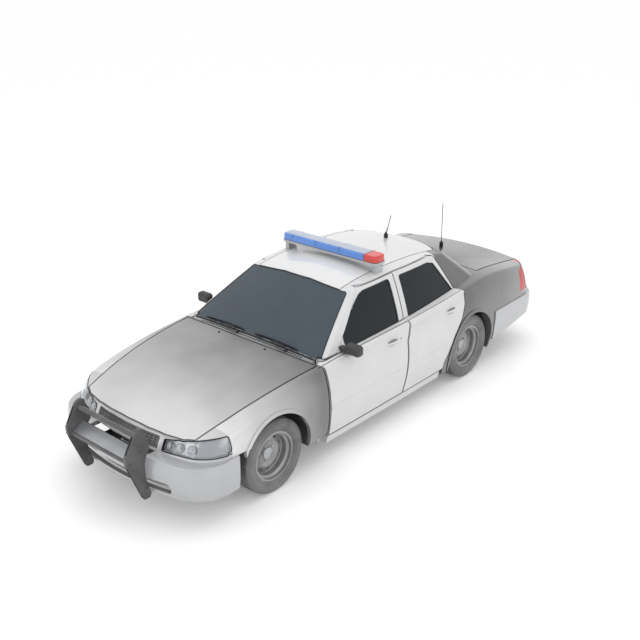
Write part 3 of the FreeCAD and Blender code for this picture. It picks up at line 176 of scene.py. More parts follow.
# key: name, colour, roughness, metal, coat, mottle, dust, bump, and what is special
MATERIALS = {
    "white": ("white_paint", (0.66, 0.66, 0.665), 0.34, 0, 1, 0.02, 0.1, None, paint()),
    # Roof: white paint with painted reflection and shade, lighter at the front and darker towards
    # the rear.
    "roof": ("roof_paint", (0.74, 0.74, 0.743), 0.34, 0, 1, 0.02, 0, None,
             paint(fade=("X", 0.0, -1.0, (0.66, 0.66, 0.665), 0.2))),
    # Boot lid: black paint with a painted reflection that lightens it towards its left side.
    "lid": ("lid_paint", (0.045, 0.046, 0.048), 0.34, 0.2, 1, 0.02, 0, None,
            paint(fade=("Y", 0.25, 0.75, (0.26, 0.26, 0.263), 0.12))),
    # Wings: black paint with a painted reflection that turns them pale grey towards the front.
    "wing": ("wing_paint", (0.125, 0.126, 0.13), 0.34, 0.2, 1, 0.02, 0.05, None,
             paint(fade=("X", 0.95, 2.3, (0.85, 0.85, 0.855), 0.15))),
    # Quarter panels and tail panel: black paint with a painted reflection that lightens them
    # towards the rear.
    "dark": ("dark_paint", (0.085, 0.086, 0.088), 0.34, 0.2, 1, 0.02, 0.05, None,
             paint(fade=("X", -1.35, -2.3, (0.26, 0.26, 0.263), 0.2))),
    # Hood and nose panel: black paint with a painted reflection that turns them pale grey towards
    # the front.
    "grey": ("grey_paint", (0.075, 0.076, 0.078), 0.34, 0.2, 1, 0.02, 0.05, None,
             paint(fade=("X", 0.95, 2.45, (0.72, 0.72, 0.725), 0.15))),
    "silver": ("silver_bumper", (0.46, 0.465, 0.475), 0.34, 0.2, 1, 0.02, 0.14, None, paint()),
    "cowl": ("cowl_paint", (0.16, 0.163, 0.168), 0.34, 0.2, 1, 0.02, 0, None, paint()),
    "cup": ("handle_cup", (0.30, 0.30, 0.305), 0.5, 0, 0.4, 0.08),
    "push": ("push_bar_coat", (0.10, 0.10, 0.102), 0.45, 0, 0.2, 0.2, 0, (0.25, 900)),
    "shelf": ("push_bar_plate", (0.42, 0.43, 0.45), 0.35, 0.7, 0, 0.08, 0, (0.1, 300)),
    "steel": ("raw_steel", (0.11, 0.105, 0.10), 0.6, 0.6, 0, 0.25, 0.4, (0.4, 60)),
    "alloy": ("cast_alloy", (0.32, 0.32, 0.33), 0.5, 0.8, 0, 0.12, 0, (0.5, 220)),
    "frame": ("chassis_coat", (0.014, 0.014, 0.015), 0.55, 0, 0, 0.3, 0.5, (0.4, 120)),
    "black": ("black_plastic", (0.012, 0.012, 0.013), 0.5, 0, 0, 0.06, 0, (0.3, 700)),
    "mirror": ("mirror_case", (0.045, 0.046, 0.048), 0.5, 0, 0, 0.1, 0, (0.25, 600)),
    "rubber": ("seal_rubber", (0.01, 0.01, 0.011), 0.75, 0, 0, 0.06, 0, (0.2, 500)),
    "glass": ("window_glass", (0.006, 0.014, 0.018), 0.03, 0, 0, 0.03, 0, None,
              dict(spec=0.3, clear=0.3)),
    "screen": ("windscreen_glass", (0.125, 0.168, 0.205), 0.03, 0, 0, 0.03, 0, None,
               dict(spec=0.3, clear=0.6)),
    "clear": ("clear_lens", (0.92, 0.94, 0.96), 0.03, 0, 0.4, 0.01, 0, None,
              dict(clear=1.0, ior=1.3)),
    "tyre": ("tyre_rubber", (0.18, 0.18, 0.183), 0.72, 0, 0, 0.25, 0.25, (0.35, 420)),
    "wheel": ("wheel_steel", (0.32, 0.32, 0.325), 0.38, 0.4, 0.3, 0.12, 0.25),
    "disc": ("brake_disc", (0.35, 0.34, 0.33), 0.35, 1, 0, 0.2, 0.2, None, dict(scale=30)),
    "cap": ("pale_metal", (0.46, 0.47, 0.48), 0.35, 0.3, 0, 0.05, 0, (0.1, 400)),
    "house": ("arch_liner", (0.06, 0.06, 0.061), 0.8, 0, 0, 0.2, 0.4, (0.5, 90)),
    "chrome": ("chrome", (0.75, 0.76, 0.78), 0.08, 1, 0, 0.02),
    "satin": ("satin_metal", (0.5, 0.51, 0.52), 0.3, 1, 0, 0.05),
    "blue": ("blue_lens", (0.10, 0.31, 0.88), 0.12, 0, 1, 0.06, 0, None, dict(clear=0.2)),
    "red": ("red_lens", (0.85, 0.07, 0.06), 0.2, 0, 0.5, 0.06, 0, None, dict(clear=0.2)),
    "pale": ("pale_cover", (0.40, 0.46, 0.56), 0.3, 0, 0.6, 0.04),
    "tail": ("tail_lens", (0.55, 0.010, 0.014), 0.1, 0, 1, 0.08, 0, None,
             dict(ribs=("Z", 18, 0.5))),
    "amber": ("amber_lens", (0.75, 0.2, 0.02), 0.12, 0, 1),
    "lamp": ("lamp_bowl", (0.42, 0.425, 0.435), 0.3, 0.6, 0.6, 0.06, 0, None,
             dict(ribs=("X", 30, 0.2))),
    "grille": ("grille_plastic", (0.16, 0.165, 0.16), 0.3, 0, 0.5, 0.2),
    "seat": ("seat_fabric", (0.03, 0.03, 0.035), 0.9, 0, 0, 0.15, 0, (0.6, 500)),
    "vinyl": ("seat_vinyl", (0.035, 0.035, 0.038), 0.5, 0, 0, 0.12, 0, (0.4, 380)),
    "dash": ("dash_skin", (0.04, 0.04, 0.043), 0.65, 0, 0, 0.1, 0, (0.5, 420)),
    "liner": ("pale_trim", (0.32, 0.32, 0.33), 0.8, 0, 0, 0.06, 0, (0.4, 600)),
    "carpet": ("carpet", (0.025, 0.025, 0.027), 0.95, 0, 0, 0.25, 0.2, (0.9, 500)),
    "belt": ("belt_webbing", (0.03, 0.03, 0.032), 0.8, 0, 0, 0.06, 0, None,
             dict(ribs=("Y", 60, 0.4))),
    "display": ("display_glass", (0.006, 0.008, 0.011), 0.06, 0, 1),
    "hose": ("hose_rubber", (0.018, 0.018, 0.019), 0.6, 0, 0, 0.06, 0, (0.3, 300)),
    "battery": ("battery_case", (0.02, 0.022, 0.03), 0.4, 0, 0, 0.06, 0, (0.2, 200)),
    # Painted shade: the near black of the lines that stand for the shade in the bumpers' creases.
    "groove": ("bumper_groove", (0.07, 0.071, 0.075), 0.5, 0, 0, 0.1),
    "plate": ("blank_plate", (0.62, 0.63, 0.64), 0.4, 0, 0.3, 0.05, 0, (0.1, 200)),
    "mesh": ("steel_mesh", (0.10, 0.10, 0.105), 0.4, 0.9, 0, 0.1),
    "fluid": ("bottle_plastic", (0.62, 0.62, 0.55), 0.35, 0, 0, 0.06, 0, None, dict(clear=0.3)),
}
M = {key: material(*row[:8], **(row[8] if len(row) > 8 else {})) for key, row in MATERIALS.items()}
# What each CAD node looks like; a star stands for left and right.
LOOK = {
    "roof": "roof_panel", "white": "side_frame_* front_door_* rear_door_*",
    "dark": "quarter_panel_* tail_panel", "lid": "boot_lid", "wing": "front_wings",
    "grey": "hood nose_panel", "silver": "front_bumper rear_bumper", "push": "push_bar",
    "frame": "chassis_frame", "steel": "front_suspension rear_axle knuckle_* exhaust",
    "alloy": "engine_block", "carpet": "floor_pan",
    "black": "parcel_shelf roof_aerial deck_aerial steering_wheel", "mirror": "mirror_*",
    "cowl": "cowl", "house": "wheelhouses", "cap": "light_bar",
    "glass": "front_door_glass_* rear_door_glass_*", "screen": "screens",
    "tyre": "tyre_front_* tyre_rear_*", "wheel": "wheel_front_* wheel_rear_*",
    "blue": "light_bar_blue", "red": "light_bar_red", "tail": "tail_lamps",
    "clear": "head_lamps", "grille": "grille", "seat": "front_seats rear_seat",
    "dash": "dashboard",
}
for look, names in LOOK.items():
    for name in names.split():
        for side in ("left", "right") if "*" in name else ("",):
            mesh = nodes[name.replace("*", side)].data
            mesh.materials.clear()
            mesh.materials.append(M[look])


# ------------------------------ mesh helpers
def piece(name, verts, faces, look, body="body", angle=35):
    """A mesh piece that rides a body; look is one material's key."""
    mesh = bpy.data.meshes.new(name)
    mesh.from_pydata([tuple(v) for v in verts], [], faces)
    mesh.validate()
    tidy = bmesh.new()
    tidy.from_mesh(mesh)
    bmesh.ops.remove_doubles(tidy, verts=tidy.verts, dist=SAME_POINT)
    bmesh.ops.recalc_face_normals(tidy, faces=tidy.faces)
    tidy.to_mesh(mesh)
    tidy.free()
    made = bpy.data.objects.new(name, mesh)
    scene.collection.objects.link(made)
    mesh.materials.append(M[look])
    mesh.shade_smooth()
    mesh.set_sharp_from_angle(angle=math.radians(angle))
    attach(made, body)
    return made


class Shape:
    """Vertices and faces gathered from several forms, made into one piece at the end."""

    def __init__(self):
        self.verts = []
        self.faces = []

    def add(self, verts, faces):
        start = len(self.verts)
        self.verts += [Vector(v) for v in verts]
        self.faces += [[i + start for i in face] for face in faces]
        return self

    def join(self, other):
        return self.add(other.verts, other.faces)

    def grid(self, rows, closed_rows=False, closed_columns=False, caps=False):
        """Faces between rows of points; every row has the same count."""
        count, wide = len(rows), len(rows[0])
        faces = []
        for i in range(count if closed_rows else count - 1):
            for j in range(wide if closed_columns else wide - 1):
                k, m = (i + 1) % count, (j + 1) % wide
                faces.append([i * wide + j, i * wide + m, k * wide + m, k * wide + j])
        if caps:
            faces.append(list(range(wide))[::-1])
            faces.append([(count - 1) * wide + j for j in range(wide)])
        return self.add([p for row in rows for p in row], faces)

    def loft(self, rows):
        """A closed form through rings of points, with both ends filled."""
        return self.grid(rows, False, True, caps=True)

    def dish(self, rows):
        """Rings of points one inside the other, with the last one filled."""
        self.grid(rows, False, True)
        self.faces.append(list(range(len(self.verts) - len(rows[-1]), len(self.verts))))
        return self

    def sheet(self, rows, thick):
        """A grid and its copy moved by thick, as a thin panel's two faces."""
        return self.grid(rows).grid([[p + thick for p in row] for row in rows])

    def tube(self, path, radius, sides=10, closed=False):
        """A round tube along a path of points; radius is a number or one per point."""
        path = [Vector(p) for p in path]
        count = len(path)
        rows = []
        normal = None
        for i, point in enumerate(path):
            before = path[i - 1] if i or closed else point
            after = path[(i + 1) % count] if i < count - 1 or closed else point
            along = (after - before).normalized()
            if normal is None:
                normal = along.orthogonal().normalized()
            normal = (normal - along * normal.dot(along)).normalized()
            other = along.cross(normal)
            size = (radius[i] if isinstance(radius, (list, tuple)) else radius) / 1000
            rows.append([point + (normal * c + other * s) * size for c, s in turns(sides)])
        return self.grid(rows, closed, True, caps=not closed)

    def lathe(self, profile, centre, axis, steps=32):
        """A profile of (along, radius) turned about an axis through centre."""
        axis = Vector(axis).normalized()
        first = axis.orthogonal().normalized()
        second = axis.cross(first)
        return self.grid([[Vector(centre) + axis * (along / 1000)
                           + (first * c + second * s) * (radius / 1000)
                           for along, radius in profile] for c, s in turns(steps)], True)

    def block(self, low, high, round_by, steps=3):
        """A box with rounded edges between two opposite corners."""
        low, high = (Vector(map(min, low, high)), Vector(map(max, low, high)))
        form = bmesh.new()
        bmesh.ops.create_cube(form, size=1)
        for v in form.verts:
            v.co = Vector([low[k] if v.co[k] < 0 else high[k] for k in range(3)])
        bmesh.ops.bevel(form, geom=form.edges[:], segments=steps, profile=0.5, affect="EDGES",
                        offset=min(round_by / 1000, min(high - low) * 0.49))
        form.verts.index_update()
        self.add([v.co.copy() for v in form.verts],
                 [[v.index for v in f.verts] for f in form.faces])
        form.free()
        return self

    def make(self, name, look, body="body", **how):
        """The finished piece, or nothing where no point was found for it."""
        return piece(name, self.verts, self.faces, look, body, **how) if self.verts else None


def smooth_line(points, steps=8, closed=False):
    """A Catmull-Rom line through points."""
    points = [Vector(p) for p in points]
    count = len(points)
    made = []
    for i in range(count if closed else count - 1):
        a, b, c, d = [points[(i + k) % count] if closed else points[min(max(i + k, 0), count - 1)]
                      for k in (-1, 0, 1, 2)]
        for t in [k / steps for k in range(steps)]:
            made.append(0.5 * ((2 * b) + (c - a) * t + (2 * a - 5 * b + 4 * c - d) * t * t
                               + (3 * b - a - 3 * c + d) * t ** 3))
    return made if closed else made + [points[-1]]


def section(origin, first, second, table):
    """Points at distances from an origin along two directions."""
    return [origin + first * (a / 1000) + second * (b / 1000) for a, b in table]


def surface(*names):
    """A ray target made of CAD nodes, in the shared frame."""
    verts, faces = [], []
    for name in names:
        mesh = nodes[name].data
        start = len(verts)
        verts += [v.co.copy() for v in mesh.vertices]
        faces += [[i + start for i in p.vertices] for p in mesh.polygons]
    return BVHTree.FromPolygons(verts, faces)


def drape(tree, points, direction=DOWN, lift=0.0):
    """Points moved along a direction onto a surface, with its normals; misses are left out."""
    direction = Vector(direction).normalized()
    made = []
    for point in points:
        hit, normal, _, _ = tree.ray_cast(point - direction * OUTSIDE, direction)
        if hit is not None:
            if normal.dot(direction) > 0:
                normal = -normal
            made.append((hit + normal * (lift / 1000), normal))
    return made


def strip(line, half_width, height, closed=False, sink=2, sides=5):
    """A rounded bead that lies on a surface along a draped line."""
    rows = []
    count = len(line)
    for i, (point, normal) in enumerate(line):
        before = line[i - 1][0] if i or closed else point
        after = line[(i + 1) % count][0] if i < count - 1 or closed else point
        along = after - before
        if along.length < 1e-9:
            continue
        side = along.normalized().cross(normal).normalized() * (half_width / 1000)
        rise, root = normal * (height / 1000), normal * (sink / 1000)
        arc = [math.pi * k / (sides - 1) for k in range(sides)]
        rows.append([point - side - root]
                    + [point - side * math.cos(a) + rise * math.sin(a) for a in arc]
                    + [point + side - root])
    return Shape().grid(rows, closed, True, caps=not closed)


LEAST_FACING = 0.25  # cosine between a face and the way it has to look
LEAST_LOOP = 0.2  # metres
SEAL_STEP, GAP_SHADE_STEP = 18, 20
# Painted shade for the panel gaps: sizes of the dark beads that stand for it.
GAP_SHADE_HEIGHT, GAP_SHADE_SINK, GAP_SHADE_LIFT = 0.8, 0.6, 0.3
GAP_SHADE_INSET = 1.1  # of the painted gap shade's half width


def edge_loops(node, facing, keep=None):
    """The outlines of the faces of a CAD node that look one way, as loops of (point, normal)."""
    mesh = nodes[node].data
    facing = Vector(facing).normalized()
    index, places, normals, edges = {}, [], {}, {}

    def key(point):
        k = tuple(round(c, 5) for c in point)
        if k not in index:
            index[k] = len(places)
            places.append(Vector(point))
        return index[k]

    for face in mesh.polygons:
        if face.normal.dot(facing) < LEAST_FACING or (keep and not keep(face.center)):
            continue
        ids = [key(mesh.vertices[i].co) for i in face.vertices]
        for a, b in zip(ids, ids[1:] + ids[:1]):
            edges.setdefault((min(a, b), max(a, b)), []).append((a, b))
            normals[a] = normals.get(a, Vector()) + face.normal * face.area
    after = {}
    for pairs in edges.values():
        if len(pairs) == 1:
            a, b = pairs[0]
            after.setdefault(a, []).append(b)
    loops = []
    while after:
        start = next(iter(after))
        loop, here = [], start
        while here in after:
            loop.append(here)
            ahead = after[here].pop()
            if not after[here]:
                del after[here]
            here = ahead
        length = sum((places[a] - places[b]).length for a, b in zip(loop, loop[1:]))
        if here == start and length > LEAST_LOOP:
            loops.append([(places[i], normals[i].normalized()) for i in loop])
    return loops


def even(loop, spacing):
    """A closed loop of (point, normal) at even distances."""
    made, left = [], 0.0
    for (p, m), (q, n) in zip(loop, loop[1:] + loop[:1]):
        length = (q - p).length
        while left < length:
            share = left / length
            made.append((p.lerp(q, share), m.lerp(n, share).normalized()))
            left += spacing / 1000
        left -= length
    return made


def seal(name, node, facing, half_width, height, body="body", keep=None, shift=0.0):
    """A rubber bead round every outline of a CAD node's faces that look one way."""
    shape = Shape()
    for loop in edge_loops(node, facing, keep):
        line = [(p + n * (shift / 1000), n) for p, n in even(loop, SEAL_STEP)]
        shape.join(strip(line, half_width, height, closed=True))
    shape.make(name, "rubber", body)


def painted_gap_shade(name, node, facing, half_width, body="body", keep=None, spot=None):
    """Painted shade in a panel gap: a thin dark bead just inside the outline of a CAD panel's faces
    that look one way.

    Where spot is given, only the points that it allows take part."""
    shape = Shape()
    for loop in edge_loops(node, facing, keep):
        line = even(loop, GAP_SHADE_STEP)
        moved, run = [], []
        for i, (point, normal) in enumerate(line):
            along = line[(i + 1) % len(line)][0] - line[i - 1][0]
            inward = normal.cross(along).normalized()
            moved.append((point + inward * (half_width * GAP_SHADE_INSET / 1000)
                          + normal * (GAP_SHADE_LIFT / 1000), normal))
        runs = [] if spot else [moved]
        for place in moved + [None] if spot else []:
            if place and spot(place[0]):
                run.append(place)
            elif run:
                runs.append(run)
                run = []
        for run in runs:
            if len(run) > 2:
                shape.join(strip(run, half_width, GAP_SHADE_HEIGHT, spot is None, GAP_SHADE_SINK))
    # The painted gap shade is made in the seal rubber's near black.
    shape.make(name, "rubber", body)


# ------------------------------ tyres
# Places across the tread where its height changes, and the grooves between them.
TREAD = [-84, -62, -58, -57, -50, -49, -45, -29, -25, -24, -17, -16, -12]
GROOVES = [(-57.5, -49.5), (-24.5, -16.5), (16.5, 24.5), (49.5, 57.5)]
STEPS = 432  # round the tyre
BLOCK = 6  # steps from one tread block to the next
HALF_TREAD, CROWN = 84, 3.2  # the tread's half width, and how far it falls off there
SHOULDER, MIDDLE_RIB, SIDE_RIB = 58, 17, (24, 50)  # distances across that part the ribs
GROOVE_DEPTH, LUG_CUT, RIB_CUT, RIB_NICK, WALL_CUT = 7.5, 5, 3.5, 2, 3
CUT_PHASES = (0, 1)  # the steps of a block that its cut takes up
# (across, radius) from the bead up the sidewall to the shoulder
SIDEWALL = [(-96, 226), (-104, 232), (-112, 246), (-112.6, 250), (-115.6, 251), (-116.6, 268),
            (-117.4, 284), (-116, 300), (-115.4, 303), (-112, 306), (-110, 316), (-103, 328),
            (-95, 337.5)]
# name, station and y of the wheel, and which way it faces
CORNERS = [("front_left", 0, 806, 1), ("front_right", 0, -806, -1),
           ("rear_left", WHEELBASE, 820, 1), ("rear_right", WHEELBASE, -820, -1)]


def tread_radius(across, phase):
    """The tread's radius: crowned, with grooves, shoulder lugs and small cuts."""
    size = WHEEL_Z - (abs(across) / HALF_TREAD) ** 4 * CROWN
    if any(low < across < high for low, high in GROOVES):
        return size - GROOVE_DEPTH
    if abs(across) > SHOULDER and phase in CUT_PHASES:
        return size - LUG_CUT
    staggered = phase + (BLOCK // 2 if across > 0 else 0)
    if SIDE_RIB[0] < abs(across) < SIDE_RIB[1] and staggered % BLOCK == 0:
        return size - RIB_CUT
    return size - RIB_NICK if abs(across) < MIDDLE_RIB and phase == BLOCK // 2 else size


def tyre_row(phase):
    """The (across, radius) outline of a tyre at one step round it."""
    wall = [(a, r - WALL_CUT if r > 326 and phase in CUT_PHASES else r) for a, r in SIDEWALL]
    tread = sorted(TREAD + [-t for t in TREAD] + [0])
    return (wall + [(t, tread_radius(t, phase)) for t in tread]
            + [(-a, r) for a, r in reversed(wall)] + [(90, 222), (0, 220), (-90, 222)])


tyre_rows = [tyre_row(phase) for phase in range(BLOCK)]
for corner, s, y, sign in CORNERS:
    rows = [[at(s + r * sine, y + a * sign, WHEEL_Z + r * cosine)
             for a, r in tyre_rows[k % BLOCK]] for k, (cosine, sine) in enumerate(turns(STEPS))]
    tread = Shape().grid(rows, True, True)
    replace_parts(tread.make("tread_" + corner, "tyre", "wheel_" + corner, angle=28),
                "tyre_" + corner)

# ------------------------------ wheels and brakes
CAP = [(-3, 1), (-3, 50), (4, 53.5), (11, 53.5), (17.5, 50.5), (19.5, 46), (19.5, 42.5), (18.2, 41),
       (18.2, 30), (20.5, 20), (21.2, 1)]
NUT = [(-4, 1), (-4, 10.5), (2, 10.5), (3, 9.2), (14, 9.2), (17, 6), (17.5, 1)]
RIM_EDGE = [(94, 224.5), (96.5, 228.5), (96.5, 231.2), (94.5, 232.5)]
DISC = [(-17.5, 36), (-17.5, 78), (-19.5, 82), (-19.5, 146), (-22.5, 147), (-22.5, 100),
        (-27.5, 100), (-27.5, 147), (-30.5, 146), (-30.5, 36), (-17.5, 36)]
PADS = ((-17.5, -8.5), (-32.5, -56))  # near and far faces of a caliper's two halves
BRIDGE = ((151, -10), (158, -9), (168, -14), (168, -48), (158, -55), (151, -52))
NUT_CIRCLE, HOLE_CIRCLE, HOLE_RADIUS, DISH = 73.5, 152, 15.2, 150


def arc_loft(shape, hub, out, first, count, table):
    """Sections of (radius, depth) at every 5 degrees round a hub, lofted."""
    rows = []
    for a in [math.radians(first + 5 * i) for i in range(count)]:
        rows.append(section(hub, Vector((math.cos(a), 0, -math.sin(a))), out, table))
    shape.loft(rows)


for corner, s, y, sign in CORNERS:
    body = "wheel_" + corner
    hub = at(s, y, WHEEL_Z)
    out = LEFT * sign
    Shape().lathe(CAP, hub, out, 48).make("wheel_cap_" + corner, "cap", body, angle=25)
    nuts = Shape()
    for i in range(5):
        turn = 2 * math.pi * i / 5 + 0.3
        spot = hub + mm(math.sin(turn) * NUT_CIRCLE, 0, math.cos(turn) * NUT_CIRCLE)
        nuts.lathe(NUT, spot, out, 6)
    nuts.make("wheel_nuts_" + corner, "satin", body, angle=25)
    holes = Shape()
    for cosine, sine in turns(10):
        ring = []
        for c, w in turns(20):
            r, w = HOLE_CIRCLE + HOLE_RADIUS * c, HOLE_RADIUS * w
            level = 8.5 - max(0, r - DISH) * 0.5 + max(0, DISH - r) * 0.28
            ring.append(hub + mm(sine * r + cosine * w, 0, cosine * r - sine * w)
                        + out * (level / 1000))
        holes.tube(ring, 1.8, 6, closed=True)
    holes.make("hand_hole_edges_" + corner, "wheel", body)
    Shape().lathe(RIM_EDGE, hub, out, 96).make("rim_edge_" + corner, "satin", body)
    Shape().tube([hub + mm(196, 45 * sign, 0), hub + mm(191, 70 * sign, 0)], 4).make(
        "valve_" + corner, "rubber", body)
    Shape().lathe(DISC, hub, out, 64).make("brake_disc_" + corner, "disc", body, angle=30)
    caliper = Shape()
    for near, far in PADS:
        step = (far - near) * 0.2
        arc_loft(caliper, hub, out, 208, 13, (
            (116, near + step), (120, near), (150, near), (158, near + step), (158, far - step),
            (150, far), (120, far), (116, far - step)))
    arc_loft(caliper, hub, out, 218, 9, BRIDGE)
    carrier = ("knuckle_" + corner.split("_")[1]) if "front" in corner else "body"
    caliper.make("caliper_" + corner, "alloy", carrier, angle=30)

# ------------------------------ seals, and painted shade in the panel gaps
seal("windscreen_seal", "screens", (1, 0, 1), 11, 6.5, keep=lambda c: c.x > 0.2, shift=1)
seal("back_window_seal", "screens", (-1, 0, 1), 10, 6, keep=lambda c: c.x < -0.8, shift=1)
seal("head_lamp_seal", "head_lamps", (1, 0, 0.1), 4.5, 3)
seal("tail_lamp_seal", "tail_lamps", (-1, 0, 0.1), 4.5, 3)
# Painted shade: dark beads along the gaps round the hood, boot lid, roof and bumper tops stand for
# the shade in those gaps.
painted_gap_shade("hood_gap_shade", "hood", (0, 0, 1), 4.2, "hood")
painted_gap_shade("boot_gap_shade", "boot_lid", (0, 0, 1), 4, "boot")
painted_gap_shade("roof_gap_shade", "roof_panel", (0, 0, 1), 3.6)
painted_gap_shade("front_bumper_gap_shade", "front_bumper", (1, 0, 0.4), 3,
     spot=lambda p: p.z > 0.572 and abs(p.y) < 0.9)
painted_gap_shade("rear_bumper_gap_shade", "rear_bumper", (-1, 0, 0.3), 3,
     spot=lambda p: p.z > 0.605 and abs(p.y) < 0.9)
for sign, side in SIDES:
    for place, width in (("front", 4.2), ("rear", 3)):
        door = f"{place}_door_{side}"
        seal(f"{place}_window_seal_{side}", f"{place}_door_glass_{side}", (0, sign, 0.5), 8, 5.5,
             door, shift=1)
        # Painted shade in the gap round each door.
        painted_gap_shade(f"{place}_door_gap_shade_{side}", door, (0, sign, 0.15), width, door)
    # Painted shade in the gap between the wing and the front door.
    painted_gap_shade(f"wing_rear_gap_shade_{side}", "front_wings", (0, sign, 0.1), 5.5,
         keep=lambda c, sign=sign: c.y * sign > 0, spot=lambda p: (AXLE - p.x) * 1000 > 585)

# ------------------------------ door furniture
# place, station and height of the handle, ends of the side strip and of the waist line
SKIN_Y, STRIP_Z, WAIST_Z = 960, 560, 930
HANDLE_HALF, HANDLE_RISE = 82, 30
DOORS = (("front", 1560, 872, (660, 1716), (660, 1762)),
         ("rear", 2525, 884, (1748, 2412), (1792, 2690)))
BOSS = [(-3, 1), (-3, 21), (3, 20), (6, 15), (7, 1)]
LOCK = [(-3, 1), (-3, 12.5), (2.5, 12), (3, 9.5), (1.2, 9), (1.2, 1)]
for sign, side in SIDES:
    for place, s_mid, z_mid, rub, waist in DOORS:
        body = f"{place}_door_{side}"
        skin = surface(body)
        inward = (0, -sign, 0)

        def on(s, z, lift=0.0):
            """The door skin's point and normal at a station and height."""
            made = drape(skin, [at(s, 0, z)], inward, lift)
            return made[0] if made else (at(s, SKIN_Y * sign, z), LEFT * sign)

        handle = Shape()
        rows = []
        for i in range(15):
            base, normal = on(s_mid + HANDLE_HALF * (i / 7 - 1), z_mid)
            bend = math.sin(math.pi * min(1, max(0, i / 14 * 1.08 - 0.04)))
            rise = HANDLE_RISE * bend ** 0.45
            thick = 7.5 if 0 < i < 14 else 4
            rows.append(section(base + normal * ((2 + rise) / 1000), UP, normal,
                                [(12.5 * c, thick * w) for c, w in turns(12)]))
        handle.loft(rows)
        for s in (s_mid - HANDLE_HALF - 2, s_mid + HANDLE_HALF + 2):
            handle.lathe(BOSS, *on(s, z_mid), 20)
        handle.make(f"{place}_handle_{side}", "white", body)
        Shape().dish([[on(s_mid + 74 * size * c, z_mid + 27 * size * w, lift)[0]
                       for c, w in turns(28)]
                      for size, lift in ((1.0, 1.2), (0.82, 0.6), (0.4, 0.4))]).make(
            f"{place}_handle_cup_{side}", "cup", body)
        if place == "front":
            Shape().lathe(LOCK, *on(s_mid + 128, z_mid), 24).make(f"lock_{side}", "satin", body)
        line = drape(skin, [at(s, 0, STRIP_Z) for s in range(rub[0], rub[1] + 1, 22)], inward)
        strip(line, 16, 5.5, sides=7).make(f"{place}_side_strip_{side}", "white", body)
        line = drape(skin, [at(s, 0, WAIST_Z) for s in range(waist[0], waist[1] + 1, 26)], inward)
        strip(line, 4, 2.2).make(f"{place}_waist_line_{side}", "white", body)

# ------------------------------ head lamps
LAMP_FACINGS = [Vector(f).normalized() for f in ((1, 0, 0.2), (0.4, 1, 0.2), (0.4, -1, 0.2))]
LENS_FACING = 0.35
LENS, HOUSING = 3, 4  # thicknesses
BOWL_DEPTH = 0.019  # metres from the lens to the bowls
BOWLS = ((-800, 520, 660, 36), (-785, 612, 664, 38), (-735, 716, 672, 38))  # the last is a radius
BULB = [(-3, 1), (-3, 7.5), (3, 8), (7, 6), (9, 1)]


def lamp_shell(name, thick, look):
    """A thin lens made of the head lamps' outer faces."""
    mesh = nodes["head_lamps"].data
    form = bmesh.new()
    index = {}
    for face in mesh.polygons:
        if max(face.normal.dot(f) for f in LAMP_FACINGS) < LENS_FACING:
            continue
        ring = []
        for co in [mesh.vertices[i].co for i in face.vertices]:
            k = tuple(round(c, 5) for c in co)
            if k not in index:
                index[k] = form.verts.new(co)
            ring.append(index[k])
        if len(set(ring)) == len(ring) and not form.faces.get(ring):
            form.faces.new(ring)
    form.normal_update()
    form.verts.index_update()
    count = len(form.verts)
    faces = [[v.index for v in f.verts] for f in form.faces]
    rim = [(e.verts[0].index, e.verts[1].index) for e in form.edges if len(e.link_faces) == 1]
    shape = Shape().add([v.co.copy() for v in form.verts]
                        + [v.co - v.normal * (thick / 1000) for v in form.verts],
                        faces + [[i + count for i in f][::-1] for f in faces]
                        + [[a, b, b + count, a + count] for a, b in rim])
    form.free()
    return shape.make(name, look, angle=40)


lens = lamp_shell("head_lamp_lens", LENS, "clear")
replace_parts(lens, "head_lamps")
for v in lamp_shell("head_lamp_housing", HOUSING, "lamp").data.vertices:
    v.co += mm(-22, -16 if v.co.y > 0 else 16, 0)
lamp_tree = surface("head_lamps")
for sign, side in SIDES:
    bowls, bulbs = Shape(), Shape()
    for s, y, z, size in BOWLS:
        for base, normal in drape(lamp_tree, [at(s, y * sign, z)], (-1, -0.5 * sign, 0)):
            base = base - normal * BOWL_DEPTH
            bowls.lathe([(12, size), (11, size * 1.04), (6, size * 0.98), (-1, size * 0.62),
                         (-3, size * 0.2), (-3, 1)], base, normal, 36)
            bulbs.lathe(BULB, base, normal, 16)
    bowls.make(f"lamp_bowls_{side}", "lamp")
    bulbs.make(f"lamp_bulbs_{side}", "satin")

# ------------------------------ windscreen
glass = surface("screens")
GLASS_Y = range(-780, 781, 30)
GLASS_S = range(600, 900, 3)  # stations among which the windscreen's foot is sought
GLASS_Z = [985 + k * 12.6 for k in range(30)]  # heights up the windscreen's sides


def glass_foot(y):
    """The station where the windscreen starts, at a distance from the middle."""
    for s in GLASS_S:
        hit = glass.ray_cast(at(s, y, SKY), DOWN)[0]
        if hit is not None and hit.z > 0.9:
            return s
    return 800


FOOT = {y: glass_foot(y) for y in GLASS_Y}


def foot_near(y):
    return FOOT[min(FOOT, key=lambda v: abs(v - y))]


strip(drape(glass, [at(FOOT[y] + 4, y, SKY) for y in GLASS_Y]), 7, 4).make(
    "windscreen_foot_trim", "satin")
for sign, side in SIDES:
    line = []
    for z in GLASS_Z:
        for y in range(840, 380, -4):
            found, normal, _, _ = glass.ray_cast(at(400, y * sign, z), AFT)
            if found is not None and found.x > 0.2:
                line.append((found + mm(0, -6 * sign, 0), normal))
                break
    if len(line) > 3:
        strip(line, 11, 5).make(f"windscreen_side_strip_{side}", "rubber")

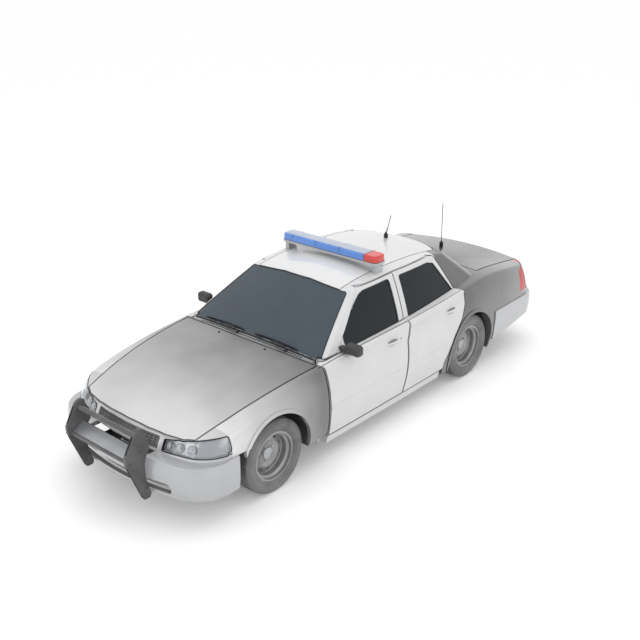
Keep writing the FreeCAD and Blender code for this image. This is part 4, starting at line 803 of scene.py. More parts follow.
BLADE = ((-1, 0.8), (-3.5, 7), (-6, 9), (-6, 13), (6, 13), (6, 9), (3.5, 7), (1, 0.8))
PIVOT = [(-6, 1), (-6, 17), (4, 16), (12, 13), (18, 9), (19, 1)]
mounts = surface("screens", "cowl", "hood")
for name, pivot_y, first, last in (("left", 470, 40, 560), ("right", -150, -640, -110)):
    line = []
    for t in [k / 18 for k in range(19)]:
        y = first + (last - first) * t
        line.append(at(foot_near(y) + 22 + 5 * math.sin(math.pi * t), y, SKY))
    line = drape(glass, line)
    blade = Shape().loft([section(p, LEFT.cross(n).normalized(), n, BLADE) for p, n in line])
    for k in (3, 7, 11, 15):
        bow = [p + n * h for (p, n), h in zip(line[k - 2:k + 3:2], (0.012, 0.021, 0.012))]
        blade.tube(smooth_line(bow, 5), 2.8, 8)
    blade.make(f"wiper_blade_{name}", "black")
    middle, lean = line[9]
    for base, rise in drape(mounts, [at(foot_near(pivot_y) - 32, pivot_y, SKY)]):
        path = smooth_line([base + rise * 0.012, base.lerp(middle, 0.3) + rise * 0.028,
                            base.lerp(middle, 0.7) + lean * 0.028, middle + lean * 0.02], 6)
        Shape().lathe(PIVOT, base, rise, 24).tube(
            path, [8 - 4 * i / (len(path) - 1) for i in range(len(path))]).make(
            f"wiper_arm_{name}", "black")
hood_tree = surface("hood")
for sign, side in SIDES:
    for base, rise in drape(hood_tree, [at(520, 300 * sign, SKY)]):
        Shape().lathe([(-1, 1), (-1, 11), (4, 10), (8, 6), (9, 1)], base, rise, 20).make(
            f"washer_jet_{side}", "black", "hood")

cowl_tree = surface("cowl")
vents = Shape()
for y in range(-19 * 34, 20 * 34, 34):
    foot = foot_near(y)
    line = drape(cowl_tree, [at(s, y, SKY) for s in range(foot - 52, foot - 17, 7)])
    if len(line) > 2:
        vents.join(strip(line, 10, 1.2, sink=0.5))
vents.make("cowl_vents", "black")


# ------------------------------ mirrors
def bulge(value, power):
    """A cosine or sine pushed outwards, so that a circle turns into a rounded rectangle."""
    return abs(value) ** power * (1 if value > 0 else -1)


REACH, HALF_Y, RIM = 0.081, 0.058, 0.020  # metres: the glass's middle from the case's outer end,
# its half width and the case's rim above and below it
OVAL = [(bulge(c, 0.4), bulge(s, 0.4)) for c, s in turns(48)]
for sign, side in SIDES:
    low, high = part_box("mirror_" + side)
    body = "front_door_" + side
    outer = max(abs(low[1]), abs(high[1]))
    centre = Vector((low[0], sign * (outer - REACH), (low[2] + high[2]) / 2))
    half_z = (high[2] - low[2]) / 2 - RIM

    def oval(size, depth):
        return [centre + Vector((depth / 1000, u * HALF_Y * size, w * half_z * size))
                for u, w in OVAL]

    Shape().grid([oval(size, depth) for size, depth in
                  ((1.0, 1), (1.0, -4), (0.95, -4.5), (0.93, -1))], False, True).make(
        "mirror_rim_" + side, "black", body)
    Shape().dish([oval(size, -1.5 - 1.2 * (1 - size)) for size in (0.93, 0.6, 0.25)]).make(
        "mirror_glass_" + side, "chrome", body)

# ------------------------------ light bar
base_low, base_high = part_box("light_bar")
low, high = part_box("light_bar_blue")
red_low, red_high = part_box("light_bar_red")
bar_x, half_x = (low[0] + high[0]) / 2, (high[0] - low[0]) / 2

BAR_CORNER = 52


def bar_ring(inset, z, grow=0):
    """A plan outline with round corners, inset from the light bar's sides."""
    points = []
    r = (BAR_CORNER - inset) / 1000
    inset, grow = inset / 1000, grow / 1000
    for cx, cy, start in ((1, 1, 0), (-1, 1, 90), (-1, -1, 180), (1, -1, 270)):
        y = red_high[1] + grow - inset - r if cy > 0 else low[1] - grow + inset + r
        for a in [math.radians(start + 90 * k / 8) for k in range(9)]:
            points.append(Vector((bar_x + cx * (half_x + grow - inset - r) + r * math.cos(a),
                                  y + r * math.sin(a), z)))
    return points


cover = Shape().dish([bar_ring(21, high[2] - 0.0002), bar_ring(21, high[2] + 0.0022),
                      bar_ring(24, high[2] + 0.0032)])
for vert in cover.verts:
    vert.y = min(vert.y, red_low[1])
cover.make("light_bar_cover", "pale", angle=25)
Shape().grid([bar_ring(d, base_high[2] + z / 1000, 4) for d, z in
              ((2.5, -1), (1.5, 1.2), (3, 3), (6, 3.5), (6, -1))], True, True).make(
    "light_bar_gasket", "rubber")
dividers, clamps, reflectors = Shape(), Shape(), Shape()
for y in (-0.46, -0.155, 0.155, red_low[1]):
    path = smooth_line([Vector((bar_x + x * (half_x + 0.0008), y, base_high[2] + z)) for x, z in
                        ((-1, 0.02), (-1, 0.045), (-0.86, 0.0655), (0.86, 0.0655), (1, 0.045),
                         (1, 0.02))], 3)
    for point in path:
        point.z = min(point.z, high[2] + 0.0005)
    dividers.tube(path, 1.6, 6)
dividers.make("light_bar_dividers", "rubber")
for sign in (1, -1):
    for x in (-0.04, 0.04):
        clamps.lathe([(-2, 1), (-2, 8), (4, 8), (6, 6), (6.5, 1)],
                     (bar_x + x, sign * (0.615 - 0.027), base_low[2] + 0.055), (0, sign, 0), 6)
clamps.make("light_bar_bolts", "satin", angle=25)
for y in [-0.55 + 0.11 * k for k in range(11)]:
    for x in (-1, 1):
        reflectors.lathe([(0, 2), (2, 16), (8, 24), (8.5, 24.5)],
                         (bar_x + x * (half_x - 0.034), y, base_high[2] + 0.030), (x, 0, 0), 20)
reflectors.make("light_bar_reflectors", "chrome")

# ------------------------------ aerials
LEAN = math.radians(22)
COLLAR = [(0, 22.5), (6, 22.8), (10, 20.5), (12, 14), (30, 9.5), (34, 6)]
for name, lean in (("roof_aerial", Vector((-math.sin(LEAN), 0, math.cos(LEAN)))),
                   ("deck_aerial", UP)):
    low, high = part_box(name)
    x = (low[0] + high[0]) / 2 if name == "deck_aerial" else high[0] - 0.022
    foot = Vector((x, (low[1] + high[1]) / 2, low[2] + 0.034))
    Shape().lathe(COLLAR, foot, UP, 28).make(name + "_collar", "black")
    out = lean.orthogonal().normalized()
    other = lean.cross(out)
    spring = []
    for k in range(121):
        a = 2 * math.pi * k / 12
        spring.append(foot + mm(0, 0, 18) + lean * (0.012 + 0.05 * k / 120)
                      + (out * math.cos(a) + other * math.sin(a)) * 0.0062)
    Shape().tube(spring, 1.6, 6).make(name + "_spring", "satin")


# ------------------------------ bumpers
SHADE_LINE_DEPTH = 0.7  # depth below the skin, which a dark bead of the same height fills, so that the painted crease shade lies flush


def wrap(tree, centre_s, z, way_x):
    """A line round a bumper at one height, just below its skin: (point, normal)."""
    made = []
    centre = at(centre_s, 0, z)
    for a in [math.radians(k * 2.5) for k in range(-30, 31)]:
        way = Vector((way_x * math.cos(a), math.sin(a), 0))
        hit, normal, _, _ = tree.ray_cast(centre + way * OUTSIDE, -way)
        if hit is not None and (hit - centre).length > 0.3:
            normal = normal if normal.dot(way) > 0 else -normal
            made.append((hit - normal * (SHADE_LINE_DEPTH / 1000), normal))
    return made


# Painted shade: flush dark lines round each bumper at three heights stand for the shade in its
# creases.
for name, centre, heights, way_x in (("front", -420, (545, 508, 452), 1),
                                     ("rear", 3600, (585, 545, 500), -1)):
    tree = surface(name + "_bumper")
    lines = Shape()
    for z in heights:
        lines.join(strip(wrap(tree, centre, z, way_x), 3.5, SHADE_LINE_DEPTH, sink=0.5))
    lines.make(f"{name}_bumper_crease_shade_lines", "groove")
MESH_S, MESH_LOW, MESH_HIGH = -925, 318, 404
intake = Shape()
for y in range(-600, 601, 20):
    intake.tube([at(MESH_S, y, MESH_LOW), at(MESH_S, y + 34, MESH_HIGH)], 2.2, 6)
    intake.tube([at(MESH_S, y + 34, MESH_LOW), at(MESH_S, y, MESH_HIGH)], 2.2, 6)
for z in (MESH_LOW, MESH_HIGH):
    intake.tube([at(MESH_S, -610, z), at(MESH_S, 640, z)], 4, 8)
for vert in intake.verts:
    vert.x -= 0.10 * (abs(vert.y) / 0.62) ** 2.4
intake.make("intake_mesh", "black")

for base, _ in drape(surface("boot_lid"), [Vector((-3.2, 0, 0.80))], FORE):
    Shape().block(base + mm(-3.5, -152.5, -76), base + mm(-1.2, 152.5, 76), 1, 2).make(
        "rear_plate_blank", "plate", "boot")
    corners = ((-158, -82), (158, -82), (158, 82), (-158, 82))
    surround = Shape().tube([base + mm(-3, y, z) for y, z in corners], 4.5, 8, closed=True)
    for y, z in ((-110, -60), (-110, 60), (110, -60), (110, 60)):
        surround.lathe([(2, 1), (2, 6), (5, 5.5), (7, 3), (7.2, 1)], base + mm(0, y, z), AFT, 14)
    surround.make("rear_plate_frame", "black", "boot")
    Shape().lathe([(-2, 1), (-2, 14), (3, 13.5), (3.5, 10), (1, 9), (1, 1)],
                  base + mm(1, 0, 115), AFT, 24).make("boot_lock", "satin", "boot")

# ------------------------------ push bar
NOSE_S = -1005
UPRIGHT_Y = 392
first, last = at(NOSE_S - 98, 0, 599), at(NOSE_S + 14, 0, 649)
lift = mm(20, 0, 50).normalized() * 0.0022
rows = [[first.lerp(last, k / 8) + lift + mm(0, y, 0) for y in range(-376, 377, 47)]
        for k in range(9)]
Shape().sheet(rows, mm(0, 0, -1.5)).make("push_bar_shelf_plate", "shelf")
rubber, bolts = Shape(), Shape()
# The runs of an upright's edge that carry rubber, as (station, height) from and to.
EDGES = (((12, 862), (-40, 838)), ((-40, 838), (-148, 655)), ((-148, 590), (-5, 205)))
BEAD = ((-9, -1.5), (-9, 1.5), (-6, 3), (6, 3), (9, 1.5), (9, -1.5))
for sign in (1, -1):
    for (s0, z0), (s1, z1) in EDGES:
        p, q = [at(NOSE_S + s, UPRIGHT_Y * sign, z) for s, z in ((s0, z0), (s1, z1))]
        along = (q - p).normalized()
        out = Vector((along.z, 0, -along.x))
        if out.x < 0:
            out = -out
        p, q = p + along * 0.03, q - along * 0.03
        rubber.loft([section(point, LEFT, out, BEAD) for point in (p, p.lerp(q, 0.5), q)])
    for face in (1, -1):
        for s, z in ((-12, 795), (-102, 584), (5, 640), (30, 300), (20, 360)):
            bolts.lathe([(0, 1), (0, 11), (6, 10.5), (8, 8), (8.5, 1)],
                        at(NOSE_S + s, UPRIGHT_Y * sign + 13 * face, z), (0, face, 0), 6)
rubber.make("push_bar_rubber", "rubber")
bolts.make("push_bar_bolts", "push", angle=25)

# ------------------------------ fuel door
quarter = surface("quarter_panel_left")
rings = []
for size, lift in ((1.0, 0.2), (1.0, 0.84), (0.94, 1.2), (0.5, 1.2)):
    outline = [at(3560 + 82 * size * bulge(c, 0.3), 0, 815 + 74 * size * bulge(w, 0.3))
               for c, w in turns(40)]
    rings.append([p for p, _ in drape(quarter, outline, (0, -1, 0), lift)])
if all(len(ring) == 40 for ring in rings):
    Shape().dish(rings).make("fuel_door", "dark")
Shape().lathe([(0, 27), (110, 30), (110, 27.5), (5, 24.5)], at(4010, -230, 171),
              (-1, 0, -0.12)).make("exhaust_tip", "satin")


# ------------------------------ seats
EDGE = 0.86  # share of a cushion's half width at which its sides start to pull in
CROWN = 5
CHANNEL_DEPTH, CHANNEL_WIDTH = 6.5, 7
SEAM_DEPTH, SEAM_WIDTH = 4, 0.018
WRINKLE = 0.8
SINK = 6  # how far the cloth lies inside the outline


def pad(name, outline, y_mid, width, look, channels=(), rows=44, pull=26):
    """A crowned cushion: an outline of (station, height) with sides that pull in and channels."""
    line = smooth_line([(s, 0, z) for s, z in outline], 7, closed=True)
    middle = sum(line, Vector()) / len(line)
    made = []
    for i in range(rows + 1):
        t = -1 + 2 * i / rows
        y = y_mid + t * width / 2
        edge = max(0.0, (abs(t) - EDGE) / (1 - EDGE))
        shrink = pull * (1 - math.sqrt(max(0.0, 1 - edge ** 2.2)))
        crown = CROWN * (1 - t * t)
        groove = sum(CHANNEL_DEPTH * math.exp(-((y - y_mid - c) / CHANNEL_WIDTH) ** 2)
                     for c in channels)
        sewn = SEAM_DEPTH * math.exp(-((abs(t) - EDGE) / SEAM_WIDTH) ** 2)
        row = []
        for k, p in enumerate(line):
            ahead = line[(k + 1) % len(line)] - line[k - 1]
            normal = Vector((ahead.z, 0, -ahead.x)).normalized()
            if normal.dot(p - middle) < 0:
                normal = -normal
            fine = WRINKLE * math.sin(p.x / 37 + y / 53) * math.sin(p.z / 41 - y / 29)
            q = p - normal * (shrink + groove + sewn + SINK - crown - fine)
            row.append(at(q.x, y, q.z))
        made.append(row)
    cushion = Shape().loft(made).make(name, look, angle=60)
    return cushion


CUSHION = [(1252, 340), (1222, 400), (1216, 470), (1222, 512), (1250, 534), (1330, 526),
           (1500, 506), (1700, 482), (1772, 470), (1778, 420), (1752, 360), (1500, 345)]
BACK = [(1652, 486), (1700, 600), (1778, 840), (1828, 1040), (1842, 1098), (1866, 1108),
        (1892, 1090), (1922, 1020), (1926, 960), (1898, 830), (1850, 660), (1796, 490), (1720, 474)]
HEAD = [(1836, 1136), (1840, 1185), (1856, 1216), (1890, 1222), (1918, 1200), (1926, 1150),
        (1912, 1126), (1868, 1120)]
REAR_CUSHION = [(2000, 330), (1976, 400), (1972, 448), (1996, 482), (2100, 476), (2300, 466),
                (2420, 458), (2410, 430), (2330, 350), (2292, 322)]
REAR_BACK = [(2418, 486), (2470, 620), (2560, 850), (2616, 974), (2660, 990), (2722, 972),
             (2728, 930), (2690, 760), (2656, 560), (2610, 476), (2500, 462)]
REAR_CHANNELS = (-380, -190, 0, 190, 380)
STRAP = ((1905, 655, 1180), (1902, 650, 1000), (1880, 646, 760), (1850, 642, 520),
         (1830, 640, 330))
for sign, side in SIDES:
    y = 370 * sign
    cushion = pad(f"seat_cushion_{side}", CUSHION, y, 512, "seat", (-150, 0, 150))
    if side == "left":
        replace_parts(cushion, "front_seats")
    pad(f"seat_back_{side}", BACK, y, 484, "seat", (-140, 0, 140))
    pad(f"head_restraint_{side}", HEAD, y, 260, "seat", rows=28, pull=22)
    posts, base = Shape(), Shape()
    for off in (-62, 62):
        posts.tube([at(1878, y + off, 1092), at(1884, y + off, 1132)], 6, 12)
    posts.make(f"head_restraint_posts_{side}", "chrome")
    for off in (-190, 190):
        base.block(at(1270, y + off - 16, 288), at(1760, y + off + 16, 334), 6)
    base.block(at(1300, y - 200, 330), at(1740, y + 200, 344), 4)
    base.make(f"seat_runners_{side}", "frame")
    Shape().block(at(1420, y + 252 * sign, 352), at(1770, y + 268 * sign, 452), 8).make(
        f"seat_side_cover_{side}", "black")
    Shape().block(at(1700, y - 268 * sign - 12, 420), at(1736, y - 268 * sign + 12, 540), 5).make(
        f"belt_buckle_{side}", "black")
    path = smooth_line([at(s, y * sign, z) for s, y, z in STRAP])
    Shape().loft([section(p, FORE, LEFT * sign, ((-24, 0), (24, 0), (24, 1.5), (-24, 1.5)))
                  for p in path]).make(f"belt_strap_{side}", "belt")
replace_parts(pad("rear_cushion", REAR_CUSHION, 0, 1140, "vinyl", REAR_CHANNELS, 90),
            "rear_seat")
pad("rear_back", REAR_BACK, 0, 1130, "vinyl", REAR_CHANNELS, 90)

# ------------------------------ driver's place
DRIVER_Y = 370
wheel = at(1160, DRIVER_Y, 930)
column = Vector((-0.899, 0, 0.438))
Shape().lathe([(-30, 1), (-30, 52), (-12, 78), (10, 80), (22, 70), (28, 45), (30, 1)], wheel,
              column, 40).make("steering_hub", "black")
Shape().lathe([(29.2, 1), (29.2, 16), (30.8, 15), (31.2, 1)], wheel, column, 28).make(
    "steering_horn_button", "satin")
stalks = Shape()
root = at(1085, DRIVER_Y, 890)
for sign in (1, -1):
    stalks.tube([root + mm(0, 30 * sign, 0), root + mm(-20, 130 * sign, 20),
                 root + mm(-30, 165 * sign, 25)], [6, 6, 9], 12)
stalks.make("steering_stalks", "black")
dash_tree = surface("dashboard")


def on_dash(y, z, lift=0.0):
    """A point and normal on the dashboard's rear face."""
    found = drape(dash_tree, [mm(-1000, y, z)], FORE, lift)
    return found[0] if found else (at(985, y, z), AFT)


HOOD_HALF, HOOD_HEIGHT = 165, 42
rows = []
for t in [-1 + k / 10 for k in range(21)]:
    h = HOOD_HEIGHT * math.sqrt(max(0.0, 1 - t ** 4))
    rows.append([at(s, DRIVER_Y + HOOD_HALF * t, z) for s, z in (
        (848, 944), (860, 950 + h * 0.6), (905, 953 + h), (972, 950 + h * 0.9),
        (984, 940 + h * 0.75), (976, 938), (900, 938))])
Shape().loft(rows).make("instrument_hood", "dash")
gauges, needles, vents = Shape(), Shape(), Shape()
for y, size in ((300, 38), (370, 30), (440, 38)):
    base, normal = on_dash(y, 905)
    gauges.lathe([(0, 1), (0, size * 0.92), (8, size), (10, size * 0.96), (4, size * 0.88),
                  (3, 1)], base, normal)
    root = base + normal * 0.006
    needles.tube([root, root + mm(0, -0.6 * size, 0.5 * size)], 1.2, 6)
gauges.make("gauges", "display")
needles.make("gauge_needles", "amber")
for y in (-640, -130, 130, 640):
    base, normal = on_dash(y, 890)
    rise = normal.cross(LEFT)
    for k in range(-3, 4):
        slat = base + rise * (k * 0.009)
        vents.loft([section(slat + LEFT * w, rise, normal, ((-1.2, 0), (2, 8), (4, 7.5), (1.2, 0)))
                    for w in (-0.055, 0.055)])
    vents.tube(section(base + normal * 0.002, LEFT, rise,
                       ((-62, -34), (62, -34), (62, 34), (-62, 34))), 5, 8, closed=True)
vents.make("dash_vents", "black")

# ------------------------------ radio and console
base, normal = on_dash(0, 820)
Shape().block(base + mm(-12, -95, -28), base + mm(20, 95, 28), 4).block(
    base + mm(-8, -95, -100), base + mm(30, 95, -38), 4).make("radio", "black")
knobs = Shape()
for y in (-75, 75):
    knobs.lathe([(0, 1), (0, 12), (14, 10.5), (15, 8), (15, 1)], base + mm(-10, y, 0), AFT, 24)
for k in range(6):
    knobs.block(base + mm(-12, -75 + k * 27, -75), base + mm(-6, -55 + k * 27, -62), 2)
knobs.make("radio_knobs", "satin")
Shape().block(base + mm(-13.5, -55, -18), base + mm(-11, 55, 18), 0.6).make(
    "radio_display", "display")
base, normal = on_dash(-420, 810)
ring = [on_dash(y, z, 1)[0] for y, z in ((-570, 770), (-270, 770), (-270, 855), (-570, 855))]
Shape().tube(ring, 2, 6, closed=True).block(base + mm(-12, -30, 20), base + mm(4, 30, 34), 4).make(
    "glove_box", "black")
Shape().loft([[at(s, y, z) for y, z in ((-88, 292), (-88, top - 12), (-78, top), (78, top),
                                        (88, top - 12), (88, 292))] for s, top in
              ((1015, 620), (1060, 600), (1180, 470), (1300, 440), (1500, 430), (1640, 430))]).make(
    "console", "dash", angle=25)
keys, holders, pedals = Shape(), Shape(), Shape()
for row in range(3):
    for k in range(5):
        spot = at(1085 + row * 34, -56 + 28 * k, 574 - row * 37)
        keys.block(spot + mm(-11, -10, -2), spot + mm(11, 10, 10), 2)
keys.make("console_keys", "satin")
for s in (1380, 1480):
    holders.lathe([(0.5, 44), (4, 44), (4, 37), (-2, 36), (-3, 1)], at(s, 0, 437), UP)
holders.make("cup_holders", "black")
for y, s, z, half_y, half_z in ((285, 838, 420, 26, 62), (385, 846, 452, 48, 26)):
    pedals.block(at(s, y - half_y, z - half_z), at(s + 16, y + half_y, z + half_z), 5)
    pedals.tube(smooth_line([at(s, y, z + 10), at(s - 30, y, z + 120), at(s - 50, y, z + 200)], 5),
                6, 8)
pedals.make("pedals", "rubber")

# ------------------------------ partition
WALL_S = 1948
HOOP = ((560, 560), (600, 900), (560, 1150), (500, 1300), (300, 1352))
loop = [at(WALL_S, -y, z) for y, z in HOOP] + [at(WALL_S, y, z) for y, z in HOOP[::-1]]
Shape().tube(smooth_line(loop, 4, closed=True), 12, 12, closed=True).tube(
    [at(WALL_S, -600, 930), at(WALL_S, 600, 930)], 10, 12).tube(
    [at(WALL_S, 0, 930), at(WALL_S, 0, 1352)], 9, 12).make("partition_frame", "frame")
cage = Shape()
for y in range(-540, 541, 20):
    cage.tube([at(WALL_S, y, 935), at(WALL_S, y, 1345 - max(0, abs(y) - 300) * 0.27)], 1.3, 5)
for z in range(950, 1331, 20):
    reach = 590 - (z - 930) * 0.24
    cage.tube([at(WALL_S, -reach, z), at(WALL_S, reach, z)], 1.3, 5)
cage.make("partition_mesh", "mesh")
Shape().loft([[at(WALL_S + 3 * math.sin(k * math.pi / 2) + d, -570 + 47.5 * k, z) for d, z in
               ((-2, 565), (-2, 925), (2, 925), (2, 565))] for k in range(25)]).make(
    "partition_panel", "liner")
for base, normal in drape(glass, [at(1060, 0, 1600)]):
    Shape().lathe([(0, 1), (0, 14), (12, 12), (20, 6)], base - normal * 0.0075, -normal,
                  16).block(base + mm(-55, -120, -88), base + mm(-35, 120, -32), 8).tube(
        [base - normal * 0.018, base + mm(-40, 0, -50)], 5, 8).make("rear_view_mirror", "black")
visors = Shape()
for sign in (1, -1):
    visors.block(at(1235, 130 * sign, 1318), at(1375, 470 * sign, 1330), 5)
visors.make("sun_visors", "liner")

# ------------------------------ door trim
for sign, side in SIDES:
    inward = Vector((0, -sign, 0))
    for place, s0, s1, z1 in (("front", 760, 1690, 905), ("rear", 1800, 2360, 915)):
        body = f"{place}_door_{side}"
        inner = surface(body)
        rows = []
        for s in [s0 + (s1 - s0) * i / 12 for i in range(13)]:
            row = []
            for z in [400 + (z1 - 400) * k / 8 for k in range(9)]:
                got = inner.ray_cast(at(s, 0, z), LEFT * sign)[0]
                row.append((at(s, 800 * sign, z) if got is None else got) + inward * 0.004)
            rows.append(row)
        Shape().sheet(rows, mm(0, 3 * sign, 0)).make(f"{place}_door_card_{side}", "vinyl", body)
        arm, grip, spot = rows[6][4], rows[4][6], rows[3][1]
        Shape().block(arm + mm(-170, 0, -20), arm + mm(170, -48 * sign, 12), 12).make(
            f"{place}_armrest_{side}", "dash", body)
        Shape().lathe([(0, 1), (0, 28), (3, 28), (4, 24), (2, 1)], grip, inward, 24).block(
            grip + mm(-45, -3 * sign, -8), grip + mm(10, -14 * sign, 8), 4).make(
            f"{place}_inner_handle_{side}", "chrome", body)
        rings = Shape()
        for size in (72, 56, 40, 24):
            rings.lathe([(0, size), (4, size - 1), (4, size - 4), (0, size - 5)], spot, inward, 36)
        rings.make(f"{place}_speaker_{side}", "black", body)

# ------------------------------ engine bay
covers, runners, pulleys = Shape(), Shape(), Shape()
for sign in (1, -1):
    covers.loft([[at(-400 + 40 * k, y * sign, z) for y, z in
                  ((138, 686), (140, 706 + 2 * (k % 2)), (156, 722), (192, 722),
                   (210, 706 + 2 * (k % 2)), (212, 640), (208, 636))] for k in range(17)])
    for s in range(-190, 171, 120):
        runners.tube(smooth_line([at(s, y * sign, z) for y, z in
                                  ((20, 704), (70, 726), (120, 716), (134, 694))], 6), 17, 14)
covers.make("cam_covers", "black", angle=30)
runners.tube([at(s, 0, 722) for s in (-250, -235, -100, 60, 210, 228)], [20, 34, 36, 36, 34, 20],
             20).make("intake_runners", "alloy")
Shape().lathe([(0, 1), (0, 24), (12, 23), (16, 19), (16, 1)], at(-330, 175, 720), UP, 12).make(
    "oil_filler_cap", "black", angle=25)
for y, z, r in ((0, 420, 75), (-140, 560, 50), (150, 560, 60), (0, 640, 45)):
    pulleys.lathe([(0, 1), (0, r), (6, r - 6), (12, r), (26, r), (26, 30), (20, 1)],
                  at(-432, y, z), FORE, 40)
pulleys.make("belt_pulleys", "satin")
FIN_S = (-655, -625)  # front and rear of the radiator's fins
radiator = Shape().block(at(-660, -330, 330), at(-620, 330, 345), 5).block(
    at(-660, -330, 640), at(-620, 330, 672), 8)
for y in range(-330, 331, 10):
    radiator.loft([[at(s, y + w, z) for w, z in ((-0.8, 345), (0.8, 345), (0.8, 640), (-0.8, 640))]
                   for s in FIN_S])
radiator.make("radiator_core", "alloy", angle=20)
Shape().lathe([(0, 1), (0, 26), (8, 28), (12, 22), (13, 1)], at(-640, 230, 671), UP, 16).make(
    "radiator_cap", "satin", angle=25)
hub = at(-560, 0, 490)
fan = Shape().lathe([(-10, 1), (-10, 50), (16, 48), (20, 30), (20, 1)], hub, FORE)
for k in range(7):
    rows = []
    for i in range(6):
        r = 45 + 22 * i
        rows.append([hub + mm(d, math.cos(b) * r, math.sin(b) * r) for b, d in
                     [(2 * math.pi * k / 7 + w + 0.05 * i, d) for w, d in
                      ((-0.16, -10), (0.16, 10), (0.16, 12), (-0.16, -8))]])
    fan.loft(rows)
fan.lathe([(-16, 168), (-16, 172), (20, 172), (20, 168), (-16, 168)], hub, FORE, 64)
for a in [math.pi / 4 + math.pi * k / 2 for k in range(4)]:
    fan.tube([hub + mm(18, math.cos(a) * 160, math.sin(a) * 140),
              at(-622, math.cos(a) * 255, 490 + math.sin(a) * 170)], 5, 8)
fan.make("cooling_fan", "black", angle=30)
Shape().tube(smooth_line([at(-622, -250, 652), at(-570, -252, 656), at(-500, -200, 668),
                          at(-420, -110, 668), at(-250, -60, 690)]), 19, 16).tube(
    smooth_line([at(-622, 250, 352), at(-570, 250, 352), at(-500, 190, 372),
                 at(-425, 110, 380)]), 21, 16).make("moulded_coolant_pipes", "hose")
battery = Shape().block(at(-610, 350, 520), at(-440, 430, 664), 6).block(
    at(-604, 354, 664), at(-446, 426, 672), 3)
for s in (-585, -465):
    battery.lathe([(0, 1), (0, 10), (16, 9), (16, 1)], at(s, 390, 671), UP, 20)
battery.make("battery", "battery")
Shape().block(at(-616, 340, 512), at(-434, 436, 521), 2).block(
    at(-560, 380, 275), at(-500, 410, 514), 3).make("battery_tray", "frame")
Shape().block(at(-610, -440, 510), at(-470, -340, 648), 22, 4).block(
    at(-560, -405, 275), at(-520, -375, 512), 4).make("washer_bottle", "fluid")
Shape().lathe([(0, 1), (0, 24), (12, 23), (15, 18), (15, 1)], at(-540, -390, 646), UP, 24).make(
    "washer_cap", "blue")
Shape().block(at(-420, -430, 560), at(-250, -300, 690), 14).block(
    at(-424, -434, 640), at(-246, -296, 650), 3).tube(
    smooth_line([at(-260, -320, 660), at(-220, -240, 700), at(-170, -120, 722),
                 at(-150, -40, 722)]), 34, 18).block(
    at(-380, -400, 275), at(-330, -370, 562), 4).make("air_cleaner", "black")
Shape().lathe([(0, 1), (0, 90), (12, 110), (30, 118), (50, 110), (64, 70), (66, 24), (150, 22),
               (152, 1)], at(640, 330, 700), FORE, 40).make("brake_servo", "black")

# ------------------------------ hood underside
rows = []
for i in range(15):
    row = []
    for k in range(-7, 8):
        s, y = -560 + 70 * i, k * 82
        got = hood_tree.ray_cast(at(s, y, 300), UP)[0]
        quilt = 4 * abs(math.sin(i * math.pi / 2)) * abs(math.sin(k * math.pi / 2))
        row.append((at(s, y, 800) if got is None else got) - mm(0, 0, 3 + quilt))
    rows.append(row)
Shape().sheet(rows, mm(0, 0, 2)).make("hood_insulation", "carpet", "hood", angle=70)

# ------------------------------ boot
BOOT_Z = 450  # where no floor is found
found = surface("floor_pan").ray_cast(at(3700, 0, 900), DOWN)[0]
boot_z = BOOT_Z if found is None else found.z * 1000
rows = [[at(3480 + 47 * i, y, boot_z + 3 + k % 2) for k, y in enumerate(range(-540, 541, 60))]
        for i in range(13)]
Shape().sheet(rows, mm(0, 0, -2)).make("boot_mat", "rubber", angle=70)
spare = at(3760, -260, boot_z + 100)
WALL = [(-58, 190), (-70, 205), (-82, 240), (-78, 275), (-62, 300), (-30, 309)]
Shape().lathe(WALL + [(-a, r) for a, r in WALL[::-1]] + WALL[:1], spare, UP, 72).make(
    "spare_tyre", "tyre")
Shape().lathe([(60, 195), (50, 180), (0, 165), (0, 120), (12, 100), (12, 36), (6, 34), (6, 1)],
              spare, UP, 64).lathe(
    [(6, 1), (6, 20), (30, 18), (30, 40), (36, 40), (38, 1)], spare, UP, 24).make(
    "spare_rim", "wheel")
Shape().block(at(3560, 130, boot_z + 7), at(3900, 500, boot_z + 175), 16, 4).block(
    at(3556, 126, boot_z + 118), at(3904, 504, boot_z + 126), 3).make("equipment_case", "black")
latches = Shape()
for y in (200, 430):
    latches.block(at(3548, y - 18, boot_z + 100), at(3558, y + 18, boot_z + 142), 3)
latches.make("case_latches", "satin")

# ------------------------------ underside
for corner, _, _, sign in CORNERS:
    # centre, half widths along and across, lowest and highest point, coils and steps of a coil
    if "front" in corner:
        s, y, wide_s, wide_y, low, high, count, steps = 0, 560, 54, 52, 228, 464, 96, 14
        Shape().tube([at(0, 560 * sign, 226), at(0, 560 * sign, 360)], 24, 18).tube(
            [at(0, 560 * sign, 360), at(0, 560 * sign, 470)], 11, 14).make(
            "damper_" + corner, "satin")
    else:
        s, y, wide_s, wide_y, low, high, count, steps = WHEELBASE, 395, 66, 66, 385, 480, 120, 15
    coil = [at(s + wide_s * math.cos(2 * math.pi * k / steps),
               y * sign + wide_y * math.sin(2 * math.pi * k / steps),
               low + (high - low) * k / count) for k in range(count + 1)]
    Shape().tube(coil, 7, 8).make("coil_spring_" + corner, "frame")
shaft = Shape().tube([at(650, 0, 348), at(2640, 0, 345)], 36, 24)
for s in (700, 1680, 2600):
    shaft.lathe([(-30, 36), (-30, 50), (30, 50), (30, 36)], at(s, 0, 347), FORE, 24)
shaft.make("prop_shaft", "steel")
Shape().block(at(3380, -200, 330), at(3560, 330, 440), 30, 4).make("fuel_tank", "frame")
rows = []
for k in range(13):
    grow = 1 if 2 <= k <= 10 else 0.5 if k in (1, 11) else 0.42
    rows.append([at(1100 + 35 * k, -230 + 62 * grow * c, 196 + 46 * grow * w)
                 for c, w in turns(24)])
Shape().loft(rows).make("exhaust_converter", "steel")
pipes = Shape()
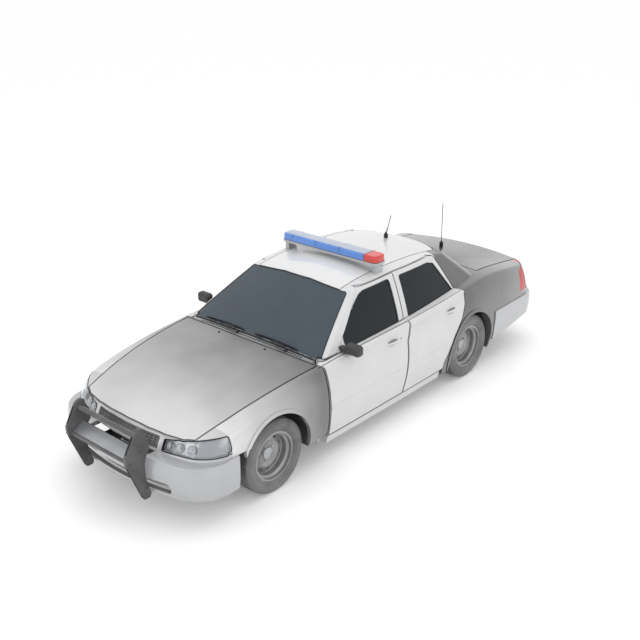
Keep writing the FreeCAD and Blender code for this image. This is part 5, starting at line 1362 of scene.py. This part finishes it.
for y in (-438, -446, -454):
    pipes.tube(smooth_line([at(s, y, z) for s, z in ((500, 290), (1200, 286), (2100, 286),
                                                     (2300, 300))], 6), 4, 8)
pipes.make("brake_lines", "steel")
for sign, side in SIDES:
    for place, s, y in (("front", 660, 913.5), ("rear", 1755, 918)):
        pins = Shape()
        for z in (420, 760):
            pins.lathe([(-30, 1), (-30, 7), (30, 7), (30, 1)], at(s, y * sign, z), UP, 16)
        pins.make(f"{place}_hinge_pins_{side}", "satin", f"{place}_door_{side}")

# ------------------------------ camera and floor
YAW, PITCH, ROLL = 3.874, -0.406, -0.014  # radians
CAMERA = (6.393, 5.755, 4.526)  # metres
camera_data = bpy.data.cameras.new("camera")
camera_data.sensor_width = 36
camera_data.lens = 52.5
camera_data.clip_end = 500
camera = bpy.data.objects.new("camera", camera_data)
scene.collection.objects.link(camera)
scene.camera = camera
forward = Vector((math.cos(PITCH) * math.cos(YAW), math.cos(PITCH) * math.sin(YAW),
                  math.sin(PITCH)))
right = forward.cross(UP).normalized()
up = right.cross(forward)
rolled = Matrix((right * math.cos(ROLL) + up * math.sin(ROLL),
                 up * math.cos(ROLL) - right * math.sin(ROLL), -forward)).transposed()
camera.matrix_world = Matrix.Translation(CAMERA) @ rolled.to_4x4()


def seen_rays(tree):
    """1 on camera, glossy and transmission rays, so that metal and glass show it too."""
    rays = shader_node(tree, "LightPath", {}).outputs
    found = rays["Is Camera Ray"]
    for ray in ("Is Glossy Ray", "Is Transmission Ray"):
        found = maths(tree, "MAXIMUM", found, rays[ray])
    return found


FLOOR_GLOW = 0.17
bpy.ops.mesh.primitive_plane_add(size=500)
floor = bpy.context.object
floor.name = "floor"
floor.data.materials.append(material("floor", (1.0, 1.0, 1.0), 0.9, mottle=0))
tree = floor.data.materials[0].node_tree
glow = shader_node(tree, "Emission", {
    "Strength": maths(tree, "MULTIPLY", seen_rays(tree), FLOOR_GLOW)})
both = shader_node(tree, "AddShader", {0: tree.nodes["Principled BSDF"].outputs[0],
                                       1: glow.outputs[0]})
feed(tree, tree.nodes["Material Output"], {"Surface": both.outputs[0]})


# ------------------------------ lights and world
def soft_light(name, place, target, size, power, glossy=True):
    """A large area light aimed at a point; places and sizes are in metres."""
    data = bpy.data.lights.new(name, "AREA")
    data.shape = "RECTANGLE"
    data.size, data.size_y = size
    data.energy = power
    light = bpy.data.objects.new(name, data)
    light.visible_glossy = glossy
    scene.collection.objects.link(light)
    light.location = place
    light.rotation_euler = (Vector(target) - Vector(place)).to_track_quat("-Z", "Y").to_euler()


soft_light("top", (-1, 0, 7), (0, 0, 0), (9, 6), 130, glossy=False)
soft_light("left", (1, 9, 4), (0, 0, 0.6), (9, 4), 95)
soft_light("front", (10, -1, 3.5), (0, 0, 0.6), (5, 4), 85)
world = bpy.data.worlds.new("world")
scene.world = world
world.use_nodes = True
tree = world.node_tree
place = shader_node(tree, "TexCoord", {}).outputs["Generated"]
height = shader_node(tree, "SeparateXYZ", {0: place}).outputs["Z"]
sky = shader_node(tree, "ValToRGB", {0: height})
first, last = sky.color_ramp.elements
first.position, first.color = 0.0, (0.62, 0.64, 0.67, 1)
last.position, last.color = 0.55, (1, 1, 1, 1)
background = tree.nodes["Background"]
feed(tree, background, {"Strength": 0.85, "Color": sky.outputs[0]})
pale = shader_node(tree, "Background", {"Color": (1, 1, 1), "Strength": 1.0})
mixed = shader_node(tree, "MixShader", {0: seen_rays(tree), 1: background.outputs[0],
                                        2: pale.outputs[0]})
feed(tree, tree.nodes["World Output"], {"Surface": mixed.outputs[0]})
scene.view_settings.view_transform = "Standard"
